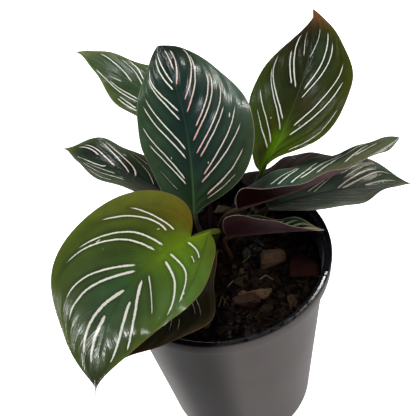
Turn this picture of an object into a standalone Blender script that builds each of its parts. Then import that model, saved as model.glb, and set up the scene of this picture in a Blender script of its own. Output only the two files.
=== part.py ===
"""A young pinstripe calathea in its plastic nursery pot.

The origin is the centre of the pot's base, +Z is up, and the leaves are seen best from -Y.
Ten leaves on slim leafstalks stand in plain holes in a bark and peat mix that fills the pot.
"""

import math
import random

import bmesh
import bpy
import numpy as np
from mathutils import Matrix, Vector

MM = 0.001
GAP = 0.3  # mm, between pieces that touch

# Pot, in mm: a round wall with a small lean outwards, a rim turned out and down, and a rounded hip.
POT_HEIGHT = 155.0
RIM_RADIUS = 70.0
RIM_BAND = 8.6
RIM_BAND_LEAN = 0.6
RIM_WALL = 1.6
LIP_WIDTH = 3.2  # the flat top of the rim
LIP_EDGE = 0.5
LIP_SLOPE = 2.2  # how far the rim drops from its flat top in to the wall
BODY_RADIUS_TOP = 65.7
BODY_RADIUS_HIP = 53.1
HIP_HEIGHT = 12.7
BASE_RADIUS = 48.0
WALL = 1.4
FLOOR = 2.0
HIP_STEPS = 4
HIP_TURN = 0.97  # share of a quarter oval that the hip makes
POT_SEGMENTS = 64
DRAIN_HOLES = 6
DRAIN_RADIUS = 4.0
DRAIN_CIRCLE = 36.0

# Potting mix, in mm.
SOIL_LEVEL = POT_HEIGHT - 17.0
SOIL_LUMP = 0.9
SOIL_RINGS = 10
SOIL_SEGMENTS = 32
SOIL_GAP = 0.45  # from the faceted wall
CHIP_COUNT = 64
CHIP_LENGTHS = (4.5, 11.0)
CHIP_CORNERS = 10
CHIP_SEED = 7
CHIP_SUNK = 0.35  # share of its thickness that is in the mix
CHIP_LEAST_SUNK = 1.5
CHIP_LEAST_THICK = 3.2
# Large chips that show beside the plant: place, length, width, thickness in mm, turn in degrees.
LARGE_CHIPS = (
    (32, -1, 17, 14, 9, 10),
    (49, -11, 20, 15, 8, -40),
    (20, -25, 15, 9, 7, 15),
    (8, -32, 16, 9, 6, 5),
    (10, -24, 8, 5, 5, -30),
    (9, 50, 12, 8, 7, 20),
)

# Leafstalks, in mm.
STALK_DEPTH = 12.0
HOLE_GAP = 0.4
HOLE_ABOVE = 6.0  # how far a hole's cutter runs past the mix
FOOT_CLEAR = 2.6  # kept free of chips round each stalk
STALK_FOOT = 1.6
STALK_SHEATH = 2.0
STALK_MIDDLE = 1.35
STALK_KNEE = 1.7
STALK_END = 0.7
STALK_STEPS = 9
STALK_UPRIGHT = 4.0  # straight stretch above the mix
STALK_RISE = 0.35  # share of its reach that a stalk rises before it bends
STALK_BEND = 0.3  # share of its reach in the bend below the blade
STALK_BEND_MOST = 12.0
STALK_SINK = 0.2  # how far the stalk's top side stands into the blade

# Leaf blades, in mm.
BLADE = 0.66
BLADE_ROWS = 17
BLADE_SHARES = (0.0, 0.12, 0.42, 0.72, 1.0)
TIP_HALF = 0.3
UNFOLDED = 1.5  # half width at which a fold has opened to half
RIB = 1.0
LOBE_REACH = 0.35
MIDRIB_STEPS = 180

# Each leaf in mm and degrees. foot: where its stalk meets the mix. bow: how far the stalk swings out on
# its way to base, where the blade starts; the height of base is above the pot's rim.
# heading turns from +Y to +X, pitch is upwards; sweep and bend are what they gain along the blade;
# roll tips the blade about its midrib. left and right: half widths at five stations. fold: how far
# a half rises from flat at the midrib, at the base and at the tip. cup: the further turn across it.
# lobe: how far the first rows slant back. start: the share of the blade that a half begins after.
LEAVES = {
    "leaf_centre": dict(
        foot=(-5, 14), base=(-10.7, 17, 20), heading=18, pitch=59, sweep=-38, bend=-35, roll=20,
        length=111, left=(16, 27, 32, 25, 9.5), right=(9, 36, 41.5, 27.5, 13),
        left_fold=(12, 6), right_fold=(12, 6), left_cup=(-15, -15), right_cup=(-25, -45),
        lobe=(20, 17), start=(0, 0), wave=(0.9, 3, 0.10, 0.85),
    ),
    "leaf_upper_right": dict(
        foot=(8, 14), bow=(5, -5), base=(34.5, 38.5, 22), heading=58, pitch=41, sweep=-46, bend=-21, roll=15,
        length=122, left=(14.5, 30, 36.5, 22, 1), right=(7, 32, 36, 20.5, 6),
        left_fold=(12, 6), right_fold=(12, 6), left_cup=(-15, -15), right_cup=(-15, -15),
        lobe=(5, 3), start=(0.02, 0.06), wave=(1.2, 3, 0.20, 0.80),
    ),
    "leaf_upper_left": dict(
        foot=(-2, 18.5), base=(0.5, 66, 42), heading=-47, pitch=34, sweep=6, bend=-35, roll=-2,
        length=112, left=(17.5, 19.5, 20, 8, 1), right=(17, 24.5, 22.5, 14.5, 7),
        left_fold=(2, 11), right_fold=(0, 10), left_cup=(-15, -15), right_cup=(-15, -15),
        lobe=(20, 20), start=(0, 0), wave=(1.4, 3, 0.35, 0.85),
    ),
    "leaf_mid_left": dict(
        foot=(-9, 17), base=(-17, 38, 7), heading=-55, pitch=30.5, sweep=10, bend=-46, roll=-1,
        length=107.5, left=(15.5, 23, 22.5, 9.5, 1), right=(15.5, 25.5, 19, 18, 4),
        left_fold=(53, 12), right_fold=(-20, 26), left_cup=(-15, -15), right_cup=(-15, -15),
        lobe=(20, 20), start=(0, 0), wave=(1.2, 3, 0.30, 0.85),
    ),
    "leaf_front_left": dict(
        foot=(-3, 8), base=(-2.5, -21.5, 42), heading=-106, pitch=14, sweep=-50, bend=-77, roll=23,
        length=120, left=(16, 30.5, 28, 17, 2), right=(26, 42, 41, 19.5, 1),
        left_fold=(-1, -1), right_fold=(21, -1), left_cup=(-20, -20), right_cup=(-20, -20),
        lobe=(26, 38), start=(0.01, 0.10), wave=(1.2, 3, 0.40, 0.55),
    ),
    "leaf_front_under": dict(
        foot=(2, 4), base=(-1.5, -2.5, 4), heading=-131, pitch=23, sweep=-6, bend=-53, roll=-1,
        length=95, left=(5, 18, 36, 22, 5), right=(18, 28, 34, 22, 6),
        left_fold=(12, 6), right_fold=(12, 6), left_cup=(-15, -15), right_cup=(-15, -15),
        lobe=(20, 20), start=(0, 0), wave=(0.8, 3, 0.40, 0.60),
    ),
    "leaf_right_upper": dict(
        foot=(4, 9), bow=(-4, 9), base=(16, 6.5, 28), heading=89, pitch=4, sweep=-25, bend=2, roll=4,
        length=111, left=(15, 22.5, 21, 13, 8), right=(21, 12.5, 15, 16.5, 5.5),
        left_fold=(2, 6), right_fold=(83, 39), left_cup=(-10, -10), right_cup=(-10, -10),
        lobe=(20, 20), start=(0, 0), wave=(1.4, 4, 0.15, 0.30),
    ),
    "leaf_right_lower": dict(
        foot=(9, 9), base=(35.5, 14.5, 16), heading=87, pitch=7, sweep=-3, bend=-26, roll=3,
        length=95, left=(13.5, 23, 25, 23.5, 6), right=(9.5, 19.5, 23.5, 8, 1),
        left_fold=(23, 20), right_fold=(30, 19), left_cup=(-15, -15), right_cup=(-15, -15),
        lobe=(20, 20), start=(0, 0), wave=(0.9, 3, 0.70, 0.95),
    ),
    "leaf_small_rolled": dict(
        foot=(7, 4.5), base=(7.5, 8.5, 3), heading=104, pitch=10, sweep=-1, bend=-11, roll=2,
        length=60, left=(11, 12, 8, 7.5, 1.5), right=(18.5, 21, 16, 8.5, 1),
        left_fold=(60, 50), right_fold=(91, 71), left_cup=(20, 20), right_cup=(-10, -10),
        lobe=(65, 20), start=(0, 0), wave=(0.8, 3, 0.10, 0.60),
    ),
    "leaf_right_back": dict(
        foot=(3, 14.5), base=(28, 42, 8), heading=74, pitch=4, sweep=-14, bend=-35, roll=2,
        length=87, left=(15, 12, 18, 14.5, 7), right=(14.5, 19, 22, 15.5, 5.5),
        left_fold=(9, 4), right_fold=(12, 6), left_cup=(-15, -15), right_cup=(-15, -15),
        lobe=(20, 20), start=(0, 0), wave=(0.8, 3, 0.10, 0.60),
    ),
}


def clear_scene():
    for item in list(bpy.data.objects):
        bpy.data.objects.remove(item)
    for mesh in list(bpy.data.meshes):
        bpy.data.meshes.remove(mesh)


def make_material(name, colour, roughness):
    material = bpy.data.materials.new(name)
    material.use_nodes = True
    shader = material.node_tree.nodes["Principled BSDF"]
    shader.inputs["Base Color"].default_value = (*colour, 1.0)
    shader.inputs["Roughness"].default_value = roughness
    shader.inputs["Metallic"].default_value = 0.0
    return material


def add_object(name, mesh, material=None):
    item = bpy.data.objects.new(name, mesh)
    bpy.context.scene.collection.objects.link(item)
    if material:
        mesh.materials.append(material)
    return item


def mesh_from(name, points, faces):
    """A mesh from points in mm, with its faces turned outwards."""
    mesh = bpy.data.meshes.new(name)
    mesh.from_pydata([Vector(point) * MM for point in points], [], faces)
    shape = bmesh.new()
    shape.from_mesh(mesh)
    bmesh.ops.recalc_face_normals(shape, faces=shape.faces)
    shape.to_mesh(mesh)
    shape.free()
    return mesh


def settle(item):
    """Replaces the object's mesh with what its modifiers make of it."""
    bpy.context.view_layer.update()
    graph = bpy.context.evaluated_depsgraph_get()
    mesh = bpy.data.meshes.new_from_object(item.evaluated_get(graph))
    item.modifiers.clear()
    item.data = mesh


def combine(item, operation, others, solver="EXACT"):
    """One Boolean on a collection of the others, applied, with the others removed."""
    group = bpy.data.collections.new("others")
    bpy.context.scene.collection.children.link(group)
    for other in others:
        bpy.context.scene.collection.objects.unlink(other)
        group.objects.link(other)
    change = item.modifiers.new(operation.lower(), "BOOLEAN")
    change.operation = operation
    change.operand_type = "COLLECTION"
    change.collection = group
    change.solver = solver
    settle(item)
    for other in others:
        bpy.data.objects.remove(other)
    bpy.data.collections.remove(group)


def shade(item, angle):
    item.data.shade_smooth()
    item.data.set_sharp_from_angle(angle=math.radians(angle))


# Pot

def pot_radius(height):
    """The outer radius of the wall under the rim band, in mm."""
    if height >= HIP_HEIGHT:
        share = (height - HIP_HEIGHT) / (POT_HEIGHT - RIM_BAND - HIP_HEIGHT)
        return BODY_RADIUS_HIP + (BODY_RADIUS_TOP - BODY_RADIUS_HIP) * share
    # The hip is a quarter turn of an oval from the leaning wall in to the base.
    share = HIP_TURN * (1 - height / HIP_HEIGHT)
    turn = (1 - math.sqrt(1 - share**2)) / (1 - math.sqrt(1 - HIP_TURN**2))
    return BODY_RADIUS_HIP - (BODY_RADIUS_HIP - BASE_RADIUS) * turn


def wall_heights(bottom, top):
    """Heights up the wall, close together round the hip."""
    hip = [HIP_HEIGHT * (step / HIP_STEPS) ** 1.4 for step in range(HIP_STEPS + 1)]
    return [bottom] + [height for height in hip if height > bottom + 0.5] + [top]


def make_pot():
    """A turned wall, rim and floor in one moulding, hollow under the rim, with a ring of drain holes."""
    band_bottom = POT_HEIGHT - RIM_BAND
    band_radius = RIM_RADIUS - RIM_BAND_LEAN
    lip_inner = RIM_RADIUS - LIP_WIDTH
    under_lip = POT_HEIGHT - LIP_SLOPE - RIM_WALL
    inner = [(pot_radius(height) - WALL, height) for height in wall_heights(FLOOR, POT_HEIGHT - LIP_SLOPE)]
    outer = [(pot_radius(height), height) for height in wall_heights(0.0, under_lip)]
    profile = [(0.0, FLOOR)] + inner + [
        (lip_inner - LIP_EDGE, POT_HEIGHT - LIP_EDGE / 2),
        (lip_inner + LIP_EDGE, POT_HEIGHT),
        (RIM_RADIUS - LIP_EDGE, POT_HEIGHT),
        (RIM_RADIUS, POT_HEIGHT - LIP_EDGE),
        (band_radius, band_bottom + LIP_EDGE),
        (band_radius - LIP_EDGE, band_bottom),
        (band_radius - RIM_WALL, band_bottom),
        (lip_inner + RIM_WALL / 2, under_lip + RIM_WALL / 2),
    ] + outer[::-1] + [(0.0, 0.0)]
    mesh = bpy.data.meshes.new("pot")
    edges = [(index, index + 1) for index in range(len(profile) - 1)]
    mesh.from_pydata([(radius * MM, 0.0, height * MM) for radius, height in profile], edges, [])
    pot = add_object("pot", mesh, make_material("moulded_polypropylene", (0.10, 0.095, 0.088), 0.45))
    turned = pot.modifiers.new("turned", "SCREW")
    turned.steps = POT_SEGMENTS
    turned.render_steps = POT_SEGMENTS
    turned.use_merge_vertices = True
    turned.merge_threshold = 0.00001
    settle(pot)
    cutters = []
    for hole in range(DRAIN_HOLES):
        cutter_mesh = bpy.data.meshes.new("drain")
        shape = bmesh.new()
        bmesh.ops.create_cone(
            shape, cap_ends=True, segments=16, radius1=DRAIN_RADIUS * MM, radius2=DRAIN_RADIUS * MM,
            depth=4 * FLOOR * MM,
        )
        shape.to_mesh(cutter_mesh)
        shape.free()
        cutter = add_object("drain", cutter_mesh)
        angle = 2 * math.pi * (hole + 0.5) / DRAIN_HOLES
        away = DRAIN_CIRCLE * MM
        cutter.location = (away * math.cos(angle), away * math.sin(angle), FLOOR * MM / 2)
        cutters.append(cutter)
    combine(pot, "DIFFERENCE", cutters, "MANIFOLD")
    shade(pot, 35)
    return pot


# Potting mix

def soil_height(x, y):
    """The lumpy top of the mix, in mm."""
    lump = math.sin(0.21 * x + 0.7) * math.cos(0.18 * y - 0.4) + 0.6 * math.sin(0.33 * x - 0.29 * y + 1.9)
    return SOIL_LEVEL + SOIL_LUMP * lump


def make_chip(name, place, size, turn, draw):
    """A chip of bark: the hull of a few corners on a squashed ball, sunk by a third."""
    shape = bmesh.new()
    for _ in range(CHIP_CORNERS):
        corner = Vector((draw.gauss(0, 1), draw.gauss(0, 1), draw.gauss(0, 1))).normalized()
        corner *= draw.uniform(0.85, 1.0)
        shape.verts.new([corner[axis] * size[axis] * MM / 2 for axis in range(3)])
    hull = bmesh.ops.convex_hull(shape, input=shape.verts)
    bmesh.ops.delete(shape, geom=hull["geom_interior"], context="VERTS")
    bmesh.ops.recalc_face_normals(shape, faces=shape.faces)
    lean = Matrix.Rotation(math.radians(draw.uniform(-12, 12)), 4, "X")
    spin = Matrix.Rotation(math.radians(turn), 4, "Z")
    bmesh.ops.transform(shape, matrix=spin @ lean, verts=shape.verts)
    lowest = min(corner.co.z for corner in shape.verts)
    height = (soil_height(*place) - max(CHIP_LEAST_SUNK, CHIP_SUNK * size[2])) * MM - lowest
    bmesh.ops.translate(shape, vec=(place[0] * MM, place[1] * MM, height), verts=shape.verts)
    mesh = bpy.data.meshes.new(name)
    shape.to_mesh(mesh)
    shape.free()
    return add_object(name, mesh)


def chip_places(draw):
    """Seeded places clear of the stalks, the wall and the large chips, with the chips' sizes."""
    taken = [(x, y, length / 2) for x, y, length, _, _, _ in LARGE_CHIPS]
    taken += [(*leaf["foot"], FOOT_CLEAR) for leaf in LEAVES.values()]
    limit = pot_radius(SOIL_LEVEL) - WALL - 1.5
    found = []
    while len(found) < CHIP_COUNT:
        length = draw.uniform(*CHIP_LENGTHS)
        away = limit * math.sqrt(draw.random())
        angle = draw.uniform(0, 2 * math.pi)
        x = away * math.cos(angle)
        y = away * math.sin(angle)
        free = all(math.hypot(x - tx, y - ty) > length / 2 + reach for tx, ty, reach in taken)
        if free and away + length / 2 < limit:
            taken.append((x, y, length / 2))
            width = length * draw.uniform(0.5, 0.8)
            thick = max(CHIP_LEAST_THICK, length * draw.uniform(0.4, 0.6))
            found.append(((x, y), (length, width, thick)))
    return found


def make_soil():
    """The mix that fills the pot, with bark chips fused in and a plain hole for each stalk."""
    heights = wall_heights(FLOOR + GAP, SOIL_LEVEL - 2)
    points = [(0, 0, soil_height(0, 0))]
    rings = []
    top_radius = pot_radius(SOIL_LEVEL) - WALL - SOIL_GAP
    for ring in range(1, SOIL_RINGS + 1):
        rings.append((top_radius * ring / SOIL_RINGS, None))
    for height in reversed(heights):
        rings.append((pot_radius(height) - WALL - SOIL_GAP, height))
    for radius, height in rings:
        for segment in range(SOIL_SEGMENTS):
            angle = 2 * math.pi * segment / SOIL_SEGMENTS
            x = radius * math.cos(angle)
            y = radius * math.sin(angle)
            points.append((x, y, soil_height(x, y) if height is None else height))
    points.append((0, 0, heights[0]))
    faces = []
    last_ring = 1 + (len(rings) - 1) * SOIL_SEGMENTS
    for segment in range(SOIL_SEGMENTS):
        after = (segment + 1) % SOIL_SEGMENTS
        faces.append((0, 1 + segment, 1 + after))
        faces.append((len(points) - 1, last_ring + after, last_ring + segment))
        for ring in range(len(rings) - 1):
            inner = 1 + ring * SOIL_SEGMENTS
            outer = inner + SOIL_SEGMENTS
            faces.append((inner + segment, outer + segment, outer + after))
            faces.append((inner + segment, outer + after, inner + after))
    material = make_material("peat_and_bark_mix", (0.030, 0.021, 0.016), 0.95)
    soil = add_object("soil", mesh_from("soil", points, faces), material)
    draw = random.Random(CHIP_SEED)
    chips = []
    for x, y, length, width, thick, turn in LARGE_CHIPS:
        chips.append(make_chip("chip", (x, y), (length, width, thick), turn, draw))
    for place, size in chip_places(draw):
        chips.append(make_chip("chip", place, size, draw.uniform(0, 180), draw))
    combine(soil, "UNION", chips, "MANIFOLD")
    holes = []
    for leaf in LEAVES.values():
        hole_mesh = bpy.data.meshes.new("hole")
        shape = bmesh.new()
        depth = STALK_DEPTH + GAP
        radius = (STALK_FOOT + HOLE_GAP) * MM
        bmesh.ops.create_cone(
            shape, cap_ends=True, segments=12, radius1=radius, radius2=radius,
            depth=(depth + HOLE_ABOVE) * MM,
        )
        shape.to_mesh(hole_mesh)
        shape.free()
        hole = add_object("hole", hole_mesh)
        middle = SOIL_LEVEL + (HOLE_ABOVE - depth) / 2
        hole.location = Vector((*leaf["foot"], middle)) * MM
        holes.append(hole)
    combine(soil, "DIFFERENCE", holes, "MANIFOLD")
    shade(soil, 30)
    return soil


# Leaves

def blade_frames(leaf, shares):
    """Points on the midrib with its directions along, to the right and up, at shares of its length."""
    steps = (np.arange(MIDRIB_STEPS) + 0.5) / MIDRIB_STEPS
    heading = np.radians(leaf["heading"] + leaf["sweep"] * steps)
    pitch = np.radians(leaf["pitch"] + leaf["bend"] * steps)
    runs = np.stack([np.cos(pitch) * np.sin(heading), np.cos(pitch) * np.cos(heading), np.sin(pitch)], 1)
    path = np.vstack([np.zeros(3), np.cumsum(runs, axis=0)]) * leaf["length"] / MIDRIB_STEPS
    marks = np.linspace(0, 1, MIDRIB_STEPS + 1)
    points = np.stack([np.interp(shares, marks, path[:, axis]) for axis in range(3)], 1)
    points += np.array(leaf["base"]) + (0.0, 0.0, POT_HEIGHT)
    heading = np.radians(leaf["heading"] + leaf["sweep"] * shares)
    pitch = np.radians(leaf["pitch"] + leaf["bend"] * shares)
    along = np.stack([np.cos(pitch) * np.sin(heading), np.cos(pitch) * np.cos(heading), np.sin(pitch)], 1)
    level = np.cross(along, (0.0, 0.0, 1.0))
    level /= np.linalg.norm(level, axis=1)[:, None]
    above = np.cross(level, along)
    roll = math.radians(leaf["roll"])
    side = math.cos(roll) * level + math.sin(roll) * above
    return points, along, side, math.cos(roll) * above - math.sin(roll) * level


def half_width(shares, stations):
    """A smooth outline through the stations, which lie closer together towards both ends."""
    parts = len(stations) + 1
    knots = np.array([-stations[0], 0.0, *stations, 0.0, stations[-1]])
    place = np.arccos(np.clip(1 - 2 * shares, -1, 1)) / math.pi * parts
    index = np.clip(place.astype(int), 0, parts - 1)
    t = place - index
    a, b, c, d = (knots[index + step] for step in range(4))
    curve = 2 * b + (c - a) * t + (2 * a - 5 * b + 4 * c - d) * t**2 + (3 * b - a - 3 * c + d) * t**3
    return np.maximum(curve / 2, 0.0) + TIP_HALF


def between(ends, shares):
    return ends[0] + (ends[1] - ends[0]) * shares


def blade_half(leaf, shares, across, side):
    """One half of the blade as rows of points, with how far each row has its full fold."""
    points, along, right, up = blade_frames(leaf, shares)
    name = "left" if side < 0 else "right"
    index = 0 if side < 0 else 1
    start = leaf["start"][index]
    own = np.clip((shares - start) / (1 - start), 0, 1)
    width = half_width(own, leaf[name])
    folded = width / (width + UNFOLDED)
    fold = np.radians(between(leaf[name + "_fold"], shares)) * folded
    cup = np.radians(between(leaf[name + "_cup"], shares))
    lobe = math.radians(leaf["lobe"][index]) * np.clip(1 - own / LOBE_REACH, 0, 1) ** 1.5
    height, count, *phases = leaf["wave"]
    ripple = height * np.sin(2 * math.pi * (count * shares + phases[index])) * np.sin(math.pi * shares) ** 0.5
    columns = []
    for share in across:
        out = width * (np.sin(fold + cup * share) - np.sin(fold)) / cup
        rise = width * (np.cos(fold) - np.cos(fold + cup * share)) / cup + ripple * share**2
        columns.append(
            points
            + right * (side * out * np.cos(lobe))[:, None]
            + up * rise[:, None]
            - along * (out * np.sin(lobe))[:, None]
        )
    return np.stack(columns, 1), folded


def blade_surfaces(leaf):
    """The upper and lower faces of the blade as two grids of points, alike row by row."""
    steps = np.arange(BLADE_ROWS + 1) / BLADE_ROWS
    shares = 0.5 * steps + 0.25 * (1 - np.cos(math.pi * steps))
    left, left_folded = blade_half(leaf, shares, BLADE_SHARES[:0:-1], -1)
    right, right_folded = blade_half(leaf, shares, BLADE_SHARES, 1)
    grid = np.concatenate([left, right], 1)
    normal = np.cross(np.gradient(grid, axis=1), np.gradient(grid, axis=0))
    normal /= np.linalg.norm(normal, axis=2)[:, :, None]
    _, _, _, up = blade_frames(leaf, shares)
    folded = np.minimum(left_folded, right_folded)[:, None, None] ** 2
    normal = normal * folded + up[:, None, :] * (1 - folded)
    normal /= np.linalg.norm(normal, axis=2)[:, :, None]
    below = np.full(grid.shape[:2], BLADE / 2)
    below[:, len(BLADE_SHARES) - 1] += RIB * (1 - shares) ** 0.7
    return grid + normal * BLADE / 2, grid - normal * below[:, :, None]


def blade_mesh(leaf):
    """The two faces split into triangles alike, with the margin closed between them."""
    upper, lower = blade_surfaces(leaf)
    rows, columns, _ = upper.shape
    points = np.concatenate([upper.reshape(-1, 3), lower.reshape(-1, 3)])
    under = rows * columns
    faces = []
    for row in range(rows - 1):
        for column in range(columns - 1):
            a = row * columns + column
            b, c, d = a + 1, a + columns + 1, a + columns
            faces += [(a, b, c), (a, c, d)]
            faces += [(under + c, under + b, under + a), (under + d, under + c, under + a)]
    ring = list(range(columns))
    ring += [row * columns + columns - 1 for row in range(1, rows)]
    ring += [(rows - 1) * columns + column for column in range(columns - 2, -1, -1)]
    ring += [row * columns for row in range(rows - 2, 0, -1)]
    for index, first in enumerate(ring):
        second = ring[(index + 1) % len(ring)]
        faces += [(second, first, under + first), (second, under + first, under + second)]
    return mesh_from("blade", points.tolist(), faces)


def stalk_route(leaf):
    """Points and radii of the stalk: up from its hole, over in a smooth bend, and on under the midrib."""
    foot = np.array([*leaf["foot"], SOIL_LEVEL], float)
    shares = np.array([0.0, 0.02, 0.05, 0.09])
    points, along, _, up = blade_frames(leaf, shares)
    radii = np.array([STALK_KNEE, 1.5, 1.15, STALK_END])
    ends = points - up * (radii - STALK_SINK)[:, None]
    reach = np.linalg.norm(ends[0] - foot)
    rise = foot + np.array([0.0, 0.0, STALK_UPRIGHT])
    bow = np.array([*leaf.get("bow", (0, 0)), STALK_RISE * reach])
    handles = (rise + bow, ends[0] - along[0] * min(STALK_BEND * reach, STALK_BEND_MOST))
    route = [foot - np.array([0.0, 0.0, STALK_DEPTH]), foot]
    sizes = [STALK_FOOT, STALK_FOOT]
    for step in range(STALK_STEPS):
        t = step / STALK_STEPS
        curve = (1 - t) ** 3 * rise + 3 * (1 - t) ** 2 * t * handles[0]
        curve = curve + 3 * (1 - t) * t**2 * handles[1] + t**3 * ends[0]
        route.append(curve)
        sheath = (STALK_SHEATH - STALK_MIDDLE) * math.exp(-((t / 0.3) ** 2))
        knee = (STALK_KNEE - STALK_MIDDLE) * math.exp(-(((1 - t) / 0.15) ** 2))
        sizes.append(STALK_MIDDLE + sheath + knee)
    return route + list(ends), sizes + list(radii)


def stalk_object(leaf):
    route, sizes = stalk_route(leaf)
    curve = bpy.data.curves.new("stalk", "CURVE")
    curve.dimensions = "3D"
    curve.bevel_depth = MM
    curve.bevel_resolution = 1
    curve.use_fill_caps = True
    spline = curve.splines.new("POLY")
    spline.points.add(len(route) - 1)
    for point, place, size in zip(spline.points, route, sizes):
        point.co = (*(place * MM), 1.0)
        point.radius = size
    guide = add_object("stalk_guide", curve)
    bpy.context.view_layer.update()
    graph = bpy.context.evaluated_depsgraph_get()
    mesh = bpy.data.meshes.new_from_object(guide.evaluated_get(graph))
    bpy.data.objects.remove(guide)
    shape = bmesh.new()
    shape.from_mesh(mesh)
    bmesh.ops.remove_doubles(shape, verts=shape.verts, dist=0.000001)
    bmesh.ops.recalc_face_normals(shape, faces=shape.faces)
    shape.to_mesh(mesh)
    shape.free()
    return add_object("stalk", mesh)


def make_leaf(name, leaf, material):
    """A waved blade with its midrib below, grown together with its leafstalk."""
    item = add_object(name, blade_mesh(leaf), material)
    combine(item, "UNION", [stalk_object(leaf)], "MANIFOLD")
    shade(item, 40)
    return item


def main():
    clear_scene()
    make_pot()
    make_soil()
    material = make_material("living_leaf", (0.030, 0.075, 0.030), 0.38)
    for name, leaf in LEAVES.items():
        make_leaf(name, leaf, material)


main()
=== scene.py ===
"""A young pinstripe calathea in its plastic nursery pot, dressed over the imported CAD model.

The origin is the centre of the pot's base, +Z is up, and the plant is seen best from -Y.
The sections follow the plant from the pot up: pot, potting mix, leaves, then the studio.
"""

import math
import random

import bmesh
import bpy
import numpy as np
from mathutils import Matrix, Vector, noise


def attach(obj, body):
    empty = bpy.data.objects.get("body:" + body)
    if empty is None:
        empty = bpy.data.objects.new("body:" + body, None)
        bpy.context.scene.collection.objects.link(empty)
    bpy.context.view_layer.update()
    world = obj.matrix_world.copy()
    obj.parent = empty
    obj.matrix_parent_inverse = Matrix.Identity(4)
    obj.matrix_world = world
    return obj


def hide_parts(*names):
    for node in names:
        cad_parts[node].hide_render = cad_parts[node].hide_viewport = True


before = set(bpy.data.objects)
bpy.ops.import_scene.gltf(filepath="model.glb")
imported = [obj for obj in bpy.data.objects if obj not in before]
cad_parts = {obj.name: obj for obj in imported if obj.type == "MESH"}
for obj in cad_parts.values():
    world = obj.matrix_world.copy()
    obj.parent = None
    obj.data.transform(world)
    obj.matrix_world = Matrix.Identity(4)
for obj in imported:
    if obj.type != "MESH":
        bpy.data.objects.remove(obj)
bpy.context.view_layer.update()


# Nursery pot
# One round moulding of thin polypropylene, its rim turned out and down, with drain holes in the floor.
# It was injection moulded, so it is smooth and satin: taupe grey outside, near black on the lip and inside.

MM = 0.001  # in Blender's metres; sizes are in mm where nothing else is said
POT_HEIGHT = 155.0
RIM_RADIUS = 70.0
RIM_BAND = 8.6
RIM_BAND_LEAN = 0.6
RIM_WALL = 1.6
LIP_WIDTH = 3.2
LIP_SLOPE = 2.2
BODY_RADIUS_TOP = 65.7
BODY_RADIUS_HIP = 53.1
HIP_HEIGHT = 12.7
HIP_TURN = 0.97  # sine of the angle that the hip's curve turns through
BASE_RADIUS = 48.0
WALL = 1.4
FLOOR = 2.0
DRAIN_RADIUS = 4.0
DRAIN_CIRCLE = 36.0
DRILL_LENGTH = 12.0
INSIDE_ABOVE = FLOOR - 0.5
INSIDE_WITHIN = RIM_RADIUS - 0.2
# Heights of the rings of points up the hip and up the straight wall.
HIP_RINGS = [HIP_HEIGHT * (step / 10) ** 1.4 for step in range(11)]
WALL_RINGS = [60.0, 110.0]
TURNING_RADIUS = 1000.0  # of the circle that carries the section round, and how far in the section lies
# The middle of the painted shade, turned from +Y to +X, and how far it reaches to each side.
PAINTED_SHADE_TURN = math.radians(-154)
PAINTED_SHADE_SPREAD = math.radians(27)
SOFT = {"interpolation_type": "SMOOTHSTEP"}  # for a map whose ends run out softly
ATTRIBUTE_FIELDS = {"FLOAT": "value", "FLOAT_VECTOR": "vector", "FLOAT_COLOR": "color"}


def linear(colour):
    """A colour written as sRGB hex, in the linear values that the shaders take."""
    levels = [int(colour[start:start + 2], 16) / 255 for start in (1, 3, 5)]
    return (*(v / 12.92 if v <= 0.04045 else ((v + 0.055) / 1.055) ** 2.4 for v in levels), 1.0)


def set_inputs(tree, node, inputs):
    """Sets a node's inputs; each takes a value, a node, or a node with the name of its output."""
    for name, value in dict(inputs).items():
        if isinstance(value, bpy.types.Node):
            value = (value, 0)
        if isinstance(value, tuple) and isinstance(value[0], bpy.types.Node):
            tree.links.new(value[0].outputs[value[1]], node.inputs[name])
        else:
            node.inputs[name].default_value = value


def add_node(tree, kind, inputs=(), **settings):
    """A node with its inputs and settings. Its kind is Blender's name for it, less a leading ShaderNode."""
    shared = kind.startswith(("Geometry", "Function", "NodeGroup"))
    node = tree.nodes.new(kind if shared else "ShaderNode" + kind)
    for name, value in settings.items():
        setattr(node, name, value)
    set_inputs(tree, node, inputs)
    return node


def new_material(name, settings):
    """A material with its shader's values set; returns it with its tree and its shader."""
    material = bpy.data.materials.new(name)
    material.use_nodes = True
    shader = material.node_tree.nodes["Principled BSDF"]
    set_inputs(material.node_tree, shader, settings)
    return material, material.node_tree, shader


def finish_surface(tree, shader, colour, pattern, rough, relief=None, strength=0.0, depth=0.0):
    """Gives a shader its colour, a roughness between two values by a pattern, and a relief of depth mm."""
    # A noise pattern lies between 0.3 and 0.7 nearly everywhere.
    roughness = add_node(tree, "MapRange", {0: pattern, 1: 0.3, 2: 0.7, 3: rough[0], 4: rough[1]})
    set_inputs(tree, shader, {"Base Color": colour, "Roughness": roughness})
    if relief is not None:
        bump = add_node(tree, "Bump", {"Strength": strength, "Distance": depth * MM, "Height": relief})
        set_inputs(tree, shader, {"Normal": bump})


def new_tree(name, inputs):
    """A Geometry Nodes tree with named inputs; returns it with the node that gives them."""
    tree = bpy.data.node_groups.new(name, "GeometryNodeTree")
    tree.interface.new_socket("Geometry", in_out="INPUT", socket_type="NodeSocketGeometry")
    tree.interface.new_socket("Geometry", in_out="OUTPUT", socket_type="NodeSocketGeometry")
    for socket, kind in inputs.items():
        tree.interface.new_socket(socket, in_out="INPUT", socket_type="NodeSocket" + kind)
    return tree, add_node(tree, "NodeGroupInput")


def finish_tree(tree, geometry, material, selection=True):
    """Ends a tree: what it has made becomes real geometry and gets its material, where it is selected."""
    real = add_node(tree, "GeometryNodeRealizeInstances", {"Geometry": geometry})
    finished = add_node(tree, "GeometryNodeSetMaterial", {
        "Geometry": real, "Selection": selection, "Material": material,
    })
    add_node(tree, "NodeGroupOutput", {0: finished})


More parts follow.
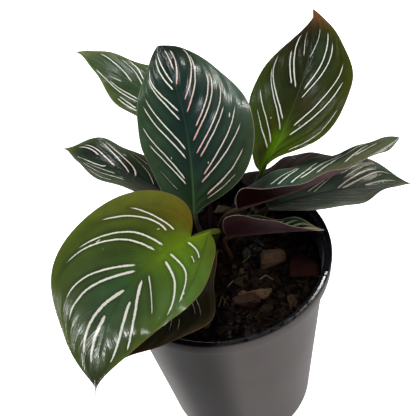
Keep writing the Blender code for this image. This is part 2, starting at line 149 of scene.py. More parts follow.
def out_from_axis(tree):
    """Each point's place, the level part of it, and its distance from the pot's axis."""
    place = add_node(tree, "SeparateXYZ", {0: add_node(tree, "GeometryNodeInputPosition")})
    level = add_node(tree, "CombineXYZ", {"X": (place, "X"), "Y": (place, "Y")})
    return place, level, (add_node(tree, "VectorMath", {0: level}, operation="LENGTH"), "Value")


def new_mesh(name, points, edges=(), faces=()):
    """A mesh from points in mm."""
    mesh = bpy.data.meshes.new(name)
    mesh.from_pydata([Vector(point) * MM for point in points], edges, faces)
    return mesh


def store(mesh, name, kind, values, domain="POINT"):
    """Stores an attribute in a mesh."""
    layer = mesh.attributes.new(name, kind, domain)
    layer.data.foreach_set(ATTRIBUTE_FIELDS[kind], np.ravel(values))


def put(name, data):
    """A new object in the scene."""
    item = bpy.data.objects.new(name, data)
    bpy.context.scene.collection.objects.link(item)
    return item


def grown(name, start, tree, values):
    """The plain mesh that a tree makes of a starting mesh, as a finished object."""
    item = put(name, start)
    maker = item.modifiers.new("maker", "NODES")
    maker.node_group = tree
    for socket in tree.interface.items_tree:
        if socket.in_out == "INPUT" and socket.name in values:
            maker[socket.identifier] = values[socket.name]
    bpy.context.view_layer.update()
    graph = bpy.context.evaluated_depsgraph_get()
    mesh = bpy.data.meshes.new_from_object(item.evaluated_get(graph))
    item.modifiers.clear()
    item.data = mesh
    mesh.name = name
    return item


def wall_radius(height):
    """The outer radius of the pot's wall under the rim, in mm."""
    if height >= HIP_HEIGHT:
        share = (height - HIP_HEIGHT) / (POT_HEIGHT - RIM_BAND - HIP_HEIGHT)
        return BODY_RADIUS_HIP + (BODY_RADIUS_TOP - BODY_RADIUS_HIP) * share
    share = HIP_TURN * (1 - height / HIP_HEIGHT)
    turn = (1 - math.sqrt(1 - share**2)) / (1 - math.sqrt(1 - HIP_TURN**2))
    return BODY_RADIUS_HIP - (BODY_RADIUS_HIP - BASE_RADIUS) * turn


def pot_profile():
    """Half of the pot's section as corners in mm, with how far each corner is rounded."""
    band_bottom = POT_HEIGHT - RIM_BAND
    band_radius = RIM_RADIUS - RIM_BAND_LEAN
    lip_inner = RIM_RADIUS - LIP_WIDTH
    lip_foot = POT_HEIGHT - LIP_SLOPE
    under_lip = lip_foot - RIM_WALL
    inside = [FLOOR] + [height for height in HIP_RINGS if height > FLOOR + 0.5] + WALL_RINGS
    outside = WALL_RINGS[::-1] + HIP_RINGS[:0:-1]
    corners = [(0.0, FLOOR, 0.0)]
    corners += [(wall_radius(height) - WALL, height, 0.0) for height in inside]
    corners += [
        (wall_radius(lip_foot) - WALL, lip_foot, 1.2),
        (lip_inner, POT_HEIGHT, 0.7),
        (RIM_RADIUS, POT_HEIGHT, 0.6),
        (band_radius, band_bottom, 0.5),
        (band_radius - RIM_WALL, band_bottom, 0.3),
        (lip_inner + RIM_WALL / 2, under_lip + RIM_WALL / 2, 0.6),
        (wall_radius(under_lip), under_lip, 0.6),
    ]
    corners += [(wall_radius(height), height, 0.0) for height in outside]
    return corners + [(wall_radius(0.0), 0.0, 0.3), (0.0, 0.0, 0.0)]


def moulded_polypropylene(name, colour, rough, streaks, painted_shade, splashed):
    """Injection-moulded polypropylene: satin, with a faint pale sheen where it is seen at a low angle.

    The last three values are how strong its flow streaks, its painted shade and its splashes are.
    """
    material, tree, shader = new_material(name, {
        "IOR": 1.49, "Sheen Weight": 0.35, "Sheen Roughness": 0.3,
    })
    place = (add_node(tree, "TexCoord"), "Object")
    # The streaks are about 6 mm apart round the wall and 120 mm long; the scuffs are specks of 1 mm.
    upright = add_node(tree, "Mapping", {"Vector": place, "Scale": (160, 160, 8)})
    flow = add_node(tree, "TexNoise", {"Vector": upright, "Scale": 1.0, "Detail": 3.0})
    cloud = add_node(tree, "TexNoise", {"Vector": place, "Scale": 38.0, "Detail": 5.0})
    scuff = add_node(tree, "TexNoise", {"Vector": place, "Scale": 900.0, "Detail": 2.0})
    mixed = add_node(tree, "Math", {0: flow, 1: streaks, 2: cloud}, operation="MULTIPLY_ADD")
    tone = add_node(tree, "MapRange", {0: mixed, 1: 0.45, 2: 1.15 + streaks * 0.5})
    dark = tuple(level * 0.72 for level in linear(colour)[:3]) + (1.0,)
    paint = add_node(tree, "Mix", {0: tone, 6: dark, 7: linear(colour)}, data_type="RGBA")
    # A painted shade darkens and dulls the wall down the front left, and fades to its sides.
    level = add_node(tree, "VectorMath", {0: place, 1: (1.0, 1.0, 0.0)}, operation="MULTIPLY")
    outward = add_node(tree, "VectorMath", {0: level}, operation="NORMALIZE")
    shaded_way = (math.sin(PAINTED_SHADE_TURN), math.cos(PAINTED_SHADE_TURN), 0.0)
    facing = add_node(tree, "VectorMath", {0: outward, 1: shaded_way}, operation="DOT_PRODUCT")
    # wet is this painted shade's mask, damp the paint that it darkens, and dry the share that it leaves
    # unshaded.
    wet = add_node(tree, "MapRange", {
        0: (facing, "Value"), 1: math.cos(PAINTED_SHADE_SPREAD), 2: 1.0, 4: painted_shade,
    }, **SOFT)
    damp = add_node(tree, "Mix", {0: wet, 6: (paint, 2), 7: (0.0, 0.0, 0.0, 1.0)}, data_type="RGBA")
    # Splashes of mix, some 3 mm across, take the shine off the lip in spots.
    splashes = add_node(tree, "TexNoise", {"Vector": place, "Scale": 330.0, "Detail": 2.0})
    clean = add_node(tree, "MapRange", {0: splashes, 1: 0.6, 2: 0.54, 3: 0.5 - 0.45 * splashed, 4: 0.5})
    dry = add_node(tree, "Math", {0: 1.0, 1: wet}, operation="SUBTRACT")
    dulled = add_node(tree, "Math", {0: clean, 1: dry}, operation="MULTIPLY")
    set_inputs(tree, shader, {"Specular IOR Level": dulled})
    finish_surface(tree, shader, (damp, 2), cloud, (rough - 0.06, rough + 0.08), scuff, 0.25, 0.04)
    return material


def turned_pot_tree():
    """Turns the rounded section round the pot's axis, cuts the drain holes and gives both finishes."""
    tree, given = new_tree("turned_pot", {
        "Turns": "Int", "Turning Radius": "Float", "Rounding": "Int", "Drain Holes": "Int",
        "Drain Circle": "Float", "Drain Radius": "Float", "Drill Length": "Float", "Drill Sides": "Int",
        "Outside": "Material", "Inside": "Material", "Inside Above": "Float", "Inside Within": "Float",
    })
    section = add_node(tree, "GeometryNodeMeshToCurve", {"Mesh": (given, "Geometry")})
    corner = add_node(tree, "GeometryNodeInputNamedAttribute", {"Name": "corner"}, data_type="FLOAT")
    rounded = add_node(tree, "GeometryNodeFilletCurve", {
        "Curve": section, "Radius": corner, "Limit Radius": True, "Count": (given, "Rounding"),
    }, mode="POLY")
    circle = add_node(tree, "GeometryNodeCurvePrimitiveCircle", {
        "Resolution": (given, "Turns"), "Radius": (given, "Turning Radius"),
    })
    turned = add_node(tree, "GeometryNodeCurveToMesh", {"Curve": circle, "Profile Curve": rounded})
    closed = add_node(tree, "GeometryNodeMergeByDistance", {"Geometry": turned, "Distance": 0.02 * MM})
    ring = add_node(tree, "GeometryNodeMeshCircle", {
        "Vertices": (given, "Drain Holes"), "Radius": (given, "Drain Circle"),
    })
    drill = add_node(tree, "GeometryNodeMeshCylinder", {
        "Vertices": (given, "Drill Sides"), "Radius": (given, "Drain Radius"),
        "Depth": (given, "Drill Length"),
    })
    drills = add_node(tree, "GeometryNodeInstanceOnPoints", {"Points": ring, "Instance": drill})
    cutters = add_node(tree, "GeometryNodeRealizeInstances", {"Geometry": drills})
    bored = add_node(tree, "GeometryNodeMeshBoolean", {
        "Mesh 1": closed, "Mesh 2": cutters,
    }, operation="DIFFERENCE", solver="MANIFOLD")
    # The inside is what doesn't face outwards, above the floor's underside and within the lip.
    place, level, away = out_from_axis(tree)
    facing = add_node(tree, "GeometryNodeInputNormal")
    outward = add_node(tree, "VectorMath", {0: facing, 1: level}, operation="DOT_PRODUCT")
    inner = True
    for value, operation, limit in (
        ((outward, "Value"), "LESS_THAN", 0.001),
        ((place, "Z"), "GREATER_THAN", (given, "Inside Above")),
        (away, "LESS_THAN", (given, "Inside Within")),
    ):
        test = add_node(tree, "FunctionNodeCompare", {"A": value, "B": limit}, operation=operation)
        inner = add_node(tree, "FunctionNodeBooleanMath", {0: inner, 1: test}, operation="AND")
    outside = add_node(tree, "GeometryNodeSetMaterial", {"Geometry": bored, "Material": (given, "Outside")})
    finish_tree(tree, outside, (given, "Inside"), inner)
    return tree


# The circle carries the section round with its second axis pointing down.
corners = pot_profile()
section = new_mesh(
    "pot_section",
    [(radius - TURNING_RADIUS, -height, 0.0) for radius, height, _ in corners],
    [(index, index + 1) for index in range(len(corners) - 1)],
)
store(section, "corner", "FLOAT", [rounding * MM for _, _, rounding in corners])
pot = grown("nursery_pot", section, turned_pot_tree(), {
    "Turns": 192, "Turning Radius": TURNING_RADIUS * MM, "Rounding": 4,
    "Drain Holes": 6, "Drain Circle": DRAIN_CIRCLE * MM, "Drain Radius": DRAIN_RADIUS * MM,
    "Drill Length": DRILL_LENGTH * MM, "Drill Sides": 24,
    "Inside Above": INSIDE_ABOVE * MM, "Inside Within": INSIDE_WITHIN * MM,
    # The outside has a painted shade of strength 0.8 down its front left; the inside has none.
    "Outside": moulded_polypropylene("moulded_polypropylene_outside", "#5b5451", 0.4, 0.5, 0.8, 0.0),
    "Inside": moulded_polypropylene("moulded_polypropylene_inside", "#101218", 0.16, 0.2, 0.0, 1.0),
})
pot.data.shade_smooth()
pot.data.set_sharp_from_angle(angle=math.radians(40))
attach(pot, "root")
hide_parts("pot")


# Potting mix
# Peat, fine bark and larger bark chips fill the pot to 17 mm below its rim, round the ten leafstalks.
# It was tipped in loose and watered in, so it lies lumpy: near-black damp crumbs with fibres in them,
# and dry tan and red-brown chips on top.

SOIL_LEVEL = POT_HEIGHT - 17.0
SOIL_LUMP = 0.9
SOIL_GAP = 0.45
SOIL_FLOOR_GAP = 0.3
SOIL_SHOULDER = 2.0  # how far below the top the side starts
BED_RINGS = 70
BED_SEGMENTS = 180
BED_ROUGH = 1.1  # mm between the crests and hollows of its small lumps
CHIP_COUNT = 64
CHIP_LENGTHS = (4.5, 11.0)
CHIP_CORNERS = 10
CHIP_SEED = 7
CHIP_SUNK = 0.35  # the share of a chip's thickness that lies in the mix
CHIP_LEAST_SUNK = 1.5
CHIP_LEAST_THICK = 3.2
CHIP_LEAN = 12  # degrees
CHIP_FULLNESS = 1.12  # makes up for what the rounding takes off
CHIP_WALL_GAP = 1.5
FOOT_CLEAR = 2.6  # kept free of chips round each stalk
GRAIN_STEP = 40.0  # how far apart in the grain's pattern two chips are, so that no two are alike
CHIP_TONES = ("#32231a", "#251712", "#1c1411", "#3c2c22", "#241912", "#17110e", "#301a13", "#4a3828")
# The large chips: place, length, width and thickness in mm, turn in degrees, and colour.
LARGE_CHIPS = (
    (32, -1, 17, 14, 9, 10, "#6e5742"),
    (50, -14, 20, 19, 8, -40, "#3a1c14"),
    (19, -25, 17, 9, 7, -10, "#66503a"),
    (8, -32, 16, 9, 6, 5, "#3e2a20"),
    (10, -24, 8, 5, 5, -30, "#7a543a"),
    (9, 50, 12, 8, 7, 20, "#7a6848"),
)
# Dry straws that lie on top, each as places in mm.
STRAWS = (
    ((-6.3, -30.6), (-4.6, -27.4), (-2.9, -24.2), (-1.4, -27.5), (-0.2, -31.0)),
    ((-3.4, -31.5), (-1.6, -28.0), (0.6, -25.0)),
    ((34.7, 36.2), (37.6, 39.2), (41.2, 42.0)),
    ((22.0, -16.5), (26.3, -14.6), (30.2, -16.9)),
    ((0.8, -17.0), (5.2, -14.0), (11.3, -13.6)),
    ((14.0, 0.6), (17.5, 2.6), (20.0, 6.0)),
)
STRAW_LIFT = 1.4
STRAW_ARCH = 1.2  # mm more at its middle
# Where each leafstalk stands in the mix, in mm.
STALK_FEET = {
    "leaf_centre": (-5, 14), "leaf_upper_right": (8, 14), "leaf_upper_left": (-2, 18.5),
    "leaf_mid_left": (-9, 17), "leaf_front_left": (-3, 8), "leaf_front_under": (2, 4),
    "leaf_right_upper": (4, 9), "leaf_right_lower": (9, 9), "leaf_small_rolled": (7, 4.5),
    "leaf_right_back": (3, 14.5),
}


def soil_height(x, y):
    """The large lumps in the top of the mix, in mm."""
    lump = math.sin(0.21 * x + 0.7) * math.cos(0.18 * y - 0.4) + 0.6 * math.sin(0.33 * x - 0.29 * y + 1.9)
    return SOIL_LEVEL + SOIL_LUMP * lump


def bed_mesh():
    """The mix as one closed body: a finely lumped top, and a side and bottom that follow the pot."""
    bottom = FLOOR + SOIL_FLOOR_GAP
    low = [height for height in HIP_RINGS[::-1] if height > bottom + 0.5]
    heights = [SOIL_LEVEL - SOIL_SHOULDER, *WALL_RINGS[::-1], *low, bottom]
    top_radius = wall_radius(SOIL_LEVEL) - WALL - SOIL_GAP
    rings = [(top_radius * ring / BED_RINGS, None) for ring in range(1, BED_RINGS + 1)]
    rings += [(wall_radius(height) - WALL - SOIL_GAP, height) for height in heights]
    points = [(0, 0, soil_height(0, 0))]
    for radius, height in rings:
        for segment in range(BED_SEGMENTS):
            angle = 2 * math.pi * segment / BED_SEGMENTS
            x = radius * math.cos(angle)
            y = radius * math.sin(angle)
            rough = noise.fractal(Vector((x, y, 3.0)) * 0.35, 0.7, 2.1, 5) * BED_ROUGH / 2
            points.append((x, y, soil_height(x, y) + rough if height is None else height))
    points.append((0, 0, bottom))
    faces = []
    last = 1 + (len(rings) - 1) * BED_SEGMENTS
    for segment in range(BED_SEGMENTS):
        after = (segment + 1) % BED_SEGMENTS
        faces.append((0, 1 + segment, 1 + after))
        faces.append((len(points) - 1, last + after, last + segment))
        for inner in range(1, last, BED_SEGMENTS):
            outer = inner + BED_SEGMENTS
            faces.append((inner + segment, outer + segment, outer + after, inner + after))
    mesh = new_mesh("potting_mix", points, (), faces)
    mesh.shade_smooth()
    return mesh


def bark_chip(place, size, turn, draw):
    """A chip's corners and faces in mm, and each corner's place in the chip itself, for its grain."""
    shape = bmesh.new()
    for _ in range(CHIP_CORNERS):
        corner = Vector((draw.gauss(0, 1), draw.gauss(0, 1), draw.gauss(0, 1))).normalized()
        corner *= draw.uniform(0.85, 1.0)
        shape.verts.new([corner[axis] * size[axis] / 2 for axis in range(3)])
    hull = bmesh.ops.convex_hull(shape, input=shape.verts)
    bmesh.ops.delete(shape, geom=hull["geom_interior"], context="VERTS")
    bmesh.ops.recalc_face_normals(shape, faces=shape.faces)
    shape.verts.index_update()
    faces = [[corner.index for corner in face.verts] for face in shape.faces]
    hull_corners = [corner.co.copy() for corner in shape.verts]
    shape.free()
    spans = [
        max(corner[axis] for corner in hull_corners) - min(corner[axis] for corner in hull_corners)
        for axis in range(3)
    ]
    own = [
        tuple(corner[axis] * CHIP_FULLNESS * size[axis] / spans[axis] for axis in range(3))
        for corner in hull_corners
    ]
    lean = Matrix.Rotation(math.radians(draw.uniform(-CHIP_LEAN, CHIP_LEAN)), 4, "X")
    turned = [Matrix.Rotation(math.radians(turn), 4, "Z") @ lean @ Vector(corner) for corner in own]
    sunk = max(CHIP_LEAST_SUNK, CHIP_SUNK * size[2])
    height = soil_height(*place) - sunk - min(corner.z for corner in turned)
    return [corner + Vector((*place, height)) for corner in turned], faces, own


def chip_places(draw):
    """Seeded places clear of the stalks, the wall and the large chips, with the chips' sizes."""
    taken = [(chip[0], chip[1], chip[2] / 2) for chip in LARGE_CHIPS]
    taken += [(*foot, FOOT_CLEAR) for foot in STALK_FEET.values()]
    limit = wall_radius(SOIL_LEVEL) - WALL - CHIP_WALL_GAP
    found = []
    while len(found) < CHIP_COUNT:
        length = draw.uniform(*CHIP_LENGTHS)
        away = limit * math.sqrt(draw.random())
        angle = draw.uniform(0, 2 * math.pi)
        x = away * math.cos(angle)
        y = away * math.sin(angle)
        free = all(math.hypot(x - tx, y - ty) > length / 2 + reach for tx, ty, reach in taken)
        if free and away + length / 2 < limit:
            taken.append((x, y, length / 2))
            width = length * draw.uniform(0.5, 0.8)
            thick = max(CHIP_LEAST_THICK, length * draw.uniform(0.4, 0.6))
            found.append(((x, y), (length, width, thick)))
    return found


def chips_mesh():
    """Every chip as a plain hull, with its grain and its colour at each corner."""
    draw = random.Random(CHIP_SEED)
    pick = random.Random(CHIP_SEED + 1)
    chips = []
    for x, y, length, width, thick, turn, tone in LARGE_CHIPS:
        chips.append((bark_chip((x, y), (length, width, thick), turn, draw), tone))
    for place, size in chip_places(draw):
        chips.append((bark_chip(place, size, draw.uniform(0, 180), draw), pick.choice(CHIP_TONES)))
    points, faces, grain, tones = [], [], [], []
    for number, ((corners, sides, own), tone) in enumerate(chips):
        faces += [[len(points) + corner for corner in side] for side in sides]
        points += corners
        grain += [(x + GRAIN_STEP * number, y, z) for x, y, z in own]
        tones += [linear(tone)] * len(corners)
    mesh = new_mesh("bark_chips", points, (), faces)
    store(mesh, "grain", "FLOAT_VECTOR", grain)
    store(mesh, "tone", "FLOAT_COLOR", tones)
    return mesh


def rough_bark_tree():
    """Rounds each chip a little and roughs it up in ridges 1 mm apart and 4 mm long."""
    tree, given = new_tree("rough_bark", {
        "Rounding": "Int", "Edge": "Float", "Roughness": "Float", "Bark": "Material",
    })
    rounded = add_node(tree, "GeometryNodeSubdivisionSurface", {
        "Mesh": (given, "Geometry"), "Level": (given, "Rounding"), "Edge Crease": (given, "Edge"),
    })
    grain = add_node(tree, "GeometryNodeInputNamedAttribute", {"Name": "grain"}, data_type="FLOAT_VECTOR")
    along = add_node(tree, "VectorMath", {0: grain, 1: (0.25, 0.9, 0.9)}, operation="MULTIPLY")
    ridges = add_node(tree, "TexNoise", {"Vector": along, "Scale": 1.0, "Detail": 4.0})
    height = add_node(tree, "Math", {0: ridges, 1: 0.45}, operation="SUBTRACT")
    rise = add_node(tree, "Math", {0: height, 1: (given, "Roughness")}, operation="MULTIPLY")
    facing = add_node(tree, "GeometryNodeInputNormal")
    move = add_node(tree, "VectorMath", {0: facing, "Scale": rise}, operation="SCALE")
    roughed = add_node(tree, "GeometryNodeSetPosition", {"Geometry": rounded, "Offset": move})
    finish_tree(tree, roughed, (given, "Bark"))
    return tree


def weathered_bark():
    """Weathered conifer bark: rough and corky, with fine lines along each chip and a damp glint in places."""
    material, tree, shader = new_material("weathered_conifer_bark", {"IOR": 1.45, "Specular IOR Level": 0.25})
    tone = add_node(tree, "Attribute", attribute_name="tone")
    grain = (add_node(tree, "Attribute", attribute_name="grain"), "Vector")
    # The layers are about 0.5 mm thick and run 3 mm along the chip; the specks are 0.3 mm.
    along = add_node(tree, "VectorMath", {0: grain, 1: (0.35, 2.2, 2.2)}, operation="MULTIPLY")
    layers = add_node(tree, "TexNoise", {"Vector": along, "Scale": 1.0, "Detail": 4.0})
    specks = add_node(tree, "TexNoise", {"Vector": grain, "Scale": 3.0, "Detail": 3.0})
    mixed = add_node(tree, "Math", {0: specks, 1: 0.5, 2: layers}, operation="MULTIPLY_ADD")
    bright = add_node(tree, "MapRange", {0: mixed, 1: 0.5, 2: 1.0, 3: 0.05, 4: 1.35})
    colour = add_node(tree, "VectorMath", {0: tone, "Scale": bright}, operation="SCALE")
    finish_surface(tree, shader, colour, layers, (0.32, 0.8), mixed, 0.6, 0.4)
    return material


def peat_or_fibre(name, dark, light):
    """Peat, bark dust and dead fibres: each bit from dark to light, dull, with a wet glint here and there."""
    material, tree, shader = new_material(name, {"IOR": 1.4, "Specular IOR Level": 0.3})
    shade = add_node(tree, "Attribute", attribute_name="shade")
    place = (add_node(tree, "TexCoord"), "Object")
    # The tone and the relief change over the 1.7 mm of a large crumb.
    crumb = add_node(tree, "TexNoise", {"Vector": place, "Scale": 600.0, "Detail": 4.0})
    mixed = add_node(tree, "Math", {0: (shade, "Fac"), 1: 0.8, 2: crumb}, operation="MULTIPLY_ADD")
    share = add_node(tree, "MapRange", {0: mixed, 1: 0.4, 2: 1.5}, **SOFT)
    colour = add_node(tree, "Mix", {0: share, 6: linear(dark), 7: linear(light)}, data_type="RGBA")
    finish_surface(tree, shader, (colour, 2), crumb, (0.3, 0.8), crumb, 0.5, 0.3)
    return material


def strewn_tree():
    """Strews one small shape over the top of the mix, each copy turned, sized and shaded by chance."""
    tree, given = new_tree("strewn_on_mix", {
        "Density": "Float", "Seed": "Int", "Reach": "Float", "Steepest": "Float", "Least": "Float",
        "Most": "Float", "Shape": "Object", "Roughness": "Float", "Finish": "Material",
    })
    _, _, away = out_from_axis(tree)
    upward = add_node(tree, "SeparateXYZ", {0: add_node(tree, "GeometryNodeInputNormal")})
    within = add_node(tree, "FunctionNodeCompare", {"A": away, "B": (given, "Reach")}, operation="LESS_THAN")
    on_top = add_node(tree, "FunctionNodeCompare", {
        "A": (upward, "Z"), "B": (given, "Steepest"),
    }, operation="GREATER_THAN")
    both = add_node(tree, "FunctionNodeBooleanMath", {0: within, 1: on_top}, operation="AND")
    seed = (given, "Seed")
    spots = add_node(tree, "GeometryNodeDistributePointsOnFaces", {
        "Mesh": (given, "Geometry"), "Selection": both, "Density": (given, "Density"), "Seed": seed,
    })
    turn = add_node(tree, "FunctionNodeRandomValue", {
        0: (-0.5, -0.5, 0.0), 1: (0.5, 0.5, 6.283), "Seed": seed,
    }, data_type="FLOAT_VECTOR")
    size = add_node(tree, "FunctionNodeRandomValue", {
        2: (given, "Least"), 3: (given, "Most"), "Seed": seed,
    }, data_type="FLOAT")
    shape = add_node(tree, "GeometryNodeObjectInfo", {"Object": (given, "Shape")})
    strewn = add_node(tree, "GeometryNodeInstanceOnPoints", {
        "Points": spots, "Instance": (shape, "Geometry"), "Rotation": turn, "Scale": (size, 1),
    })
    shade = add_node(tree, "FunctionNodeRandomValue", {2: 0.0, 3: 1.0, "Seed": 5}, data_type="FLOAT")
    toned = add_node(tree, "GeometryNodeStoreNamedAttribute", {
        "Geometry": strewn, "Name": "shade", "Value": (shade, 1),
    }, data_type="FLOAT", domain="INSTANCE")
    solid = add_node(tree, "GeometryNodeRealizeInstances", {"Geometry": toned})
    # A noise of about 1 mm moves the points, so that no two bits have the same form.
    here = add_node(tree, "GeometryNodeInputPosition")
    bits = add_node(tree, "TexNoise", {"Vector": here, "Scale": 900.0, "Detail": 1.0})
    centred = add_node(tree, "VectorMath", {0: (bits, "Color"), 1: (0.5, 0.5, 0.5)}, operation="SUBTRACT")
    move = add_node(tree, "VectorMath", {0: centred, "Scale": (given, "Roughness")}, operation="SCALE")
    roughed = add_node(tree, "GeometryNodeSetPosition", {"Geometry": solid, "Offset": move})
    finish_tree(tree, roughed, (given, "Finish"))
    return tree


def small_shape(name, build):
    """A shape to strew, about 1 mm across, kept out of the scene."""
    shape = bmesh.new()
    build(shape)
    mesh = bpy.data.meshes.new(name)
    shape.to_mesh(mesh)
    shape.free()
    return bpy.data.objects.new(name, mesh)


def crumb_form(shape):
    """An angular crumb of 20 faces."""
    bmesh.ops.create_icosphere(shape, subdivisions=1, radius=0.5 * MM)
    for corner in shape.verts:
        corner.co *= 1 + 0.9 * noise.noise(corner.co * 2900)
        corner.co.z *= 0.7


def bit_form(shape):
    """A chunky bit of bark, flatter than it is wide."""
    bmesh.ops.create_icosphere(shape, subdivisions=2, radius=0.5 * MM)
    for corner in shape.verts:
        corner.co *= 1 + 0.5 * noise.noise(corner.co * 1900 + Vector((3, 1, 4)))
        corner.co *= Vector((1.1, 0.7, 0.45))


def flake_form(shape):
    """A thin flake of bark, longer than wide."""
    bmesh.ops.create_cube(shape, size=MM)
    for corner in shape.verts:
        corner.co.x *= 1.0 + 0.2 * math.copysign(1, corner.co.y * corner.co.z)
        corner.co.y *= 0.42 + 0.1 * math.copysign(1, corner.co.x)
        corner.co.z *= 0.14


def fibre_form(shape):
    """A bent fibre 1 mm long, as a slim tube of three sides."""
    rings = []
    for step in range(9):
        t = step / 8 - 0.5
        middle = Vector((t, 0.35 * t * t + 0.08 * math.sin(9 * t), 0.12 - 0.5 * t * t))
        sides = [Vector((0, math.cos(turn), math.sin(turn))) * 0.014 for turn in (0.0, 2.1, 4.2)]
        rings.append([shape.verts.new((middle + side) * MM) for side in sides])
    for first, second in zip(rings, rings[1:]):
        for side in range(3):
            after = (side + 1) % 3
            shape.faces.new((first[side], second[side], second[after], first[after]))
    shape.faces.new(rings[0])
    shape.faces.new(rings[-1][::-1])


def straws_mesh():
    """The straws' routes, as edges that lie just on the mix and rise a little in their middle."""
    points, edges = [], []
    for straw in STRAWS:
        edges += [(len(points) + step, len(points) + step + 1) for step in range(len(straw) - 1)]
        for step, (x, y) in enumerate(straw):
            lift = STRAW_LIFT + (STRAW_ARCH if step == len(straw) // 2 else 0.0)
            points.append((x, y, soil_height(x, y) + lift))
    return new_mesh("straw_routes", points, edges)


def straw_tree():
    """Gives each route a slim round stem."""
    tree, given = new_tree("straw_stems", {"Radius": "Float", "Sides": "Int", "Finish": "Material"})
    route = add_node(tree, "GeometryNodeMeshToCurve", {"Mesh": (given, "Geometry")})
    circle = add_node(tree, "GeometryNodeCurvePrimitiveCircle", {
        "Resolution": (given, "Sides"), "Radius": (given, "Radius"),
    })
    stem = add_node(tree, "GeometryNodeCurveToMesh", {
        "Curve": route, "Profile Curve": circle, "Fill Caps": True,
    })
    finish_tree(tree, stem, (given, "Finish"))
    return tree


# What is strewn over the mix: how many to a square metre, seed, reach from the pot's axis in mm, least and
# most length in mm, how far its points are moved in mm, form, and finish with its dark and light colour.
STREWN = {
    "peat_crumbs": (300000.0, 3, 61.5, 0.7, 2.2, 0.8, crumb_form, "damp_peat_crumbs", "#040303", "#1a120d"),
    "bark_bits": (60000.0, 17, 60.0, 3.5, 8.0, 1.6, bit_form, "damp_bark_bits", "#090605", "#271a12"),
    "bark_flakes": (25000.0, 11, 60.0, 2.0, 6.5, 0.8, flake_form, "damp_bark_flakes", "#0c0705", "#362616"),
    "root_fibres": (9000.0, 23, 58.0, 5.0, 14.0, 0.0, fibre_form, "dry_root_fibres", "#1a120c", "#53432b"),
}

bed = put("potting_mix", bed_mesh())
bed.data.materials.append(peat_or_fibre("damp_peat", "#040202", "#0d0907"))
chips = grown("bark_chips", chips_mesh(), rough_bark_tree(), {
    "Rounding": 3, "Edge": 0.45, "Roughness": 2.2 * MM, "Bark": weathered_bark(),
})
mix_pieces = {"potting_mix": bed, "bark_chips": chips}
strewer = strewn_tree()
for name, (density, seed, reach, least, most, rough, form, finish, dark, light) in STREWN.items():
    mix_pieces[name] = grown(name, bed.data.copy(), strewer, {
        "Density": density, "Seed": seed, "Reach": reach * MM, "Steepest": 0.4, "Least": least,
        "Most": most, "Shape": small_shape(name + "_form", form), "Roughness": rough * MM,
        "Finish": peat_or_fibre(finish, dark, light),
    })
mix_pieces["dry_straws"] = grown("dry_straws", straws_mesh(), straw_tree(), {
    "Radius": 0.4 * MM, "Sides": 8, "Finish": peat_or_fibre("dry_straw", "#6d6044", "#aca17b"),
})
for name in ("bark_chips", "root_fibres", "dry_straws"):
    mix_pieces[name].data.shade_smooth()
for mix_piece in mix_pieces.values():
    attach(mix_piece, "root")
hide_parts("soil")
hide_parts("soil")


# Leaves
# Ten living leaves, each a waved oval blade grown in one piece with its leafstalk, which stands in the mix.
# The upper face is dark and satin with thin pale stripes in pairs along its side veins; the underside is
# mauve and matt.

# The stalk's radii from its foot in the mix up to its end under the midrib. The sheath and the knee are
# swellings that run out over a share of its curve.
STALK_FOOT = 1.6
STALK_SHEATH = 2.0
STALK_SHEATH_REACH = 0.3
STALK_MIDDLE = 1.35
STALK_KNEE = 1.7
STALK_KNEE_REACH = 0.15
STALK_END = 0.7
# Its way: how deep it stands in the mix, how far it goes straight up, how high the curve's first handle
# lies and how far before the blade its second one, both as shares of the distance to the blade.
STALK_DEPTH = 12.0
STALK_UPRIGHT = 4.0
STALK_RISE = 0.35
STALK_BEND = 0.3
STALK_BEND_MOST = 12.0  # the furthest that the second handle lies before the blade
STALK_SINK = 0.2  # how far its end is sunk into the blade
STALK_GROOVE = 0.12  # its depth as a share of the radius
STALK_STEPS = 44
STALK_SIDES = 18
TIP_HALF = 0.3  # half the width of the blade's tip
UNFOLDED = 1.5  # the half width at which a half has risen by half of its fold
RIB = 1.0  # how far the midrib stands out below the blade's base
RIB_HALF = 1.1
LOBE_REACH = 0.35  # the share of a half over which its first rows slant back
MIDRIB_STEPS = 400
BLADE = 0.5  # how thick it is
BLADE_ROWS = 150
BLADE_COLUMNS = 30
NERVE_SPACING = 1.9  # mm between the fine side veins, measured along the midrib
NERVE_RELIEF = 0.02
FOLD_RELIEF = 0.22  # how far the soft folds along the side veins rise and sink
NERVES_PER_FOLD = 8
RIB_CLEAR = 4.0  # mm over which the relief comes up from the midrib
MARGIN_CLEAR = 5.0
RIB_GROOVE = 0.25
FIRST_VEIN = -0.16  # the share of the midrib where the side vein that fills the blade's base would start
LEAN_REACH = 0.14  # the share of the midrib over which the side veins come to their full slant
HOOK_END = 0.55  # the share of the midrib past which the hook at the margin turns back
PAIR_OFFSET = 0.035  # half the gap between the two stripes of a pair, as a share of the midrib
EVEN_PAIRS = (0.02, 0.18, 0.36, 0.54, 0.72)
NO_STRIPE = (9.0, 2.0, 0.0)  # what a face off the upper skin holds: far from a stripe, past its end, no width
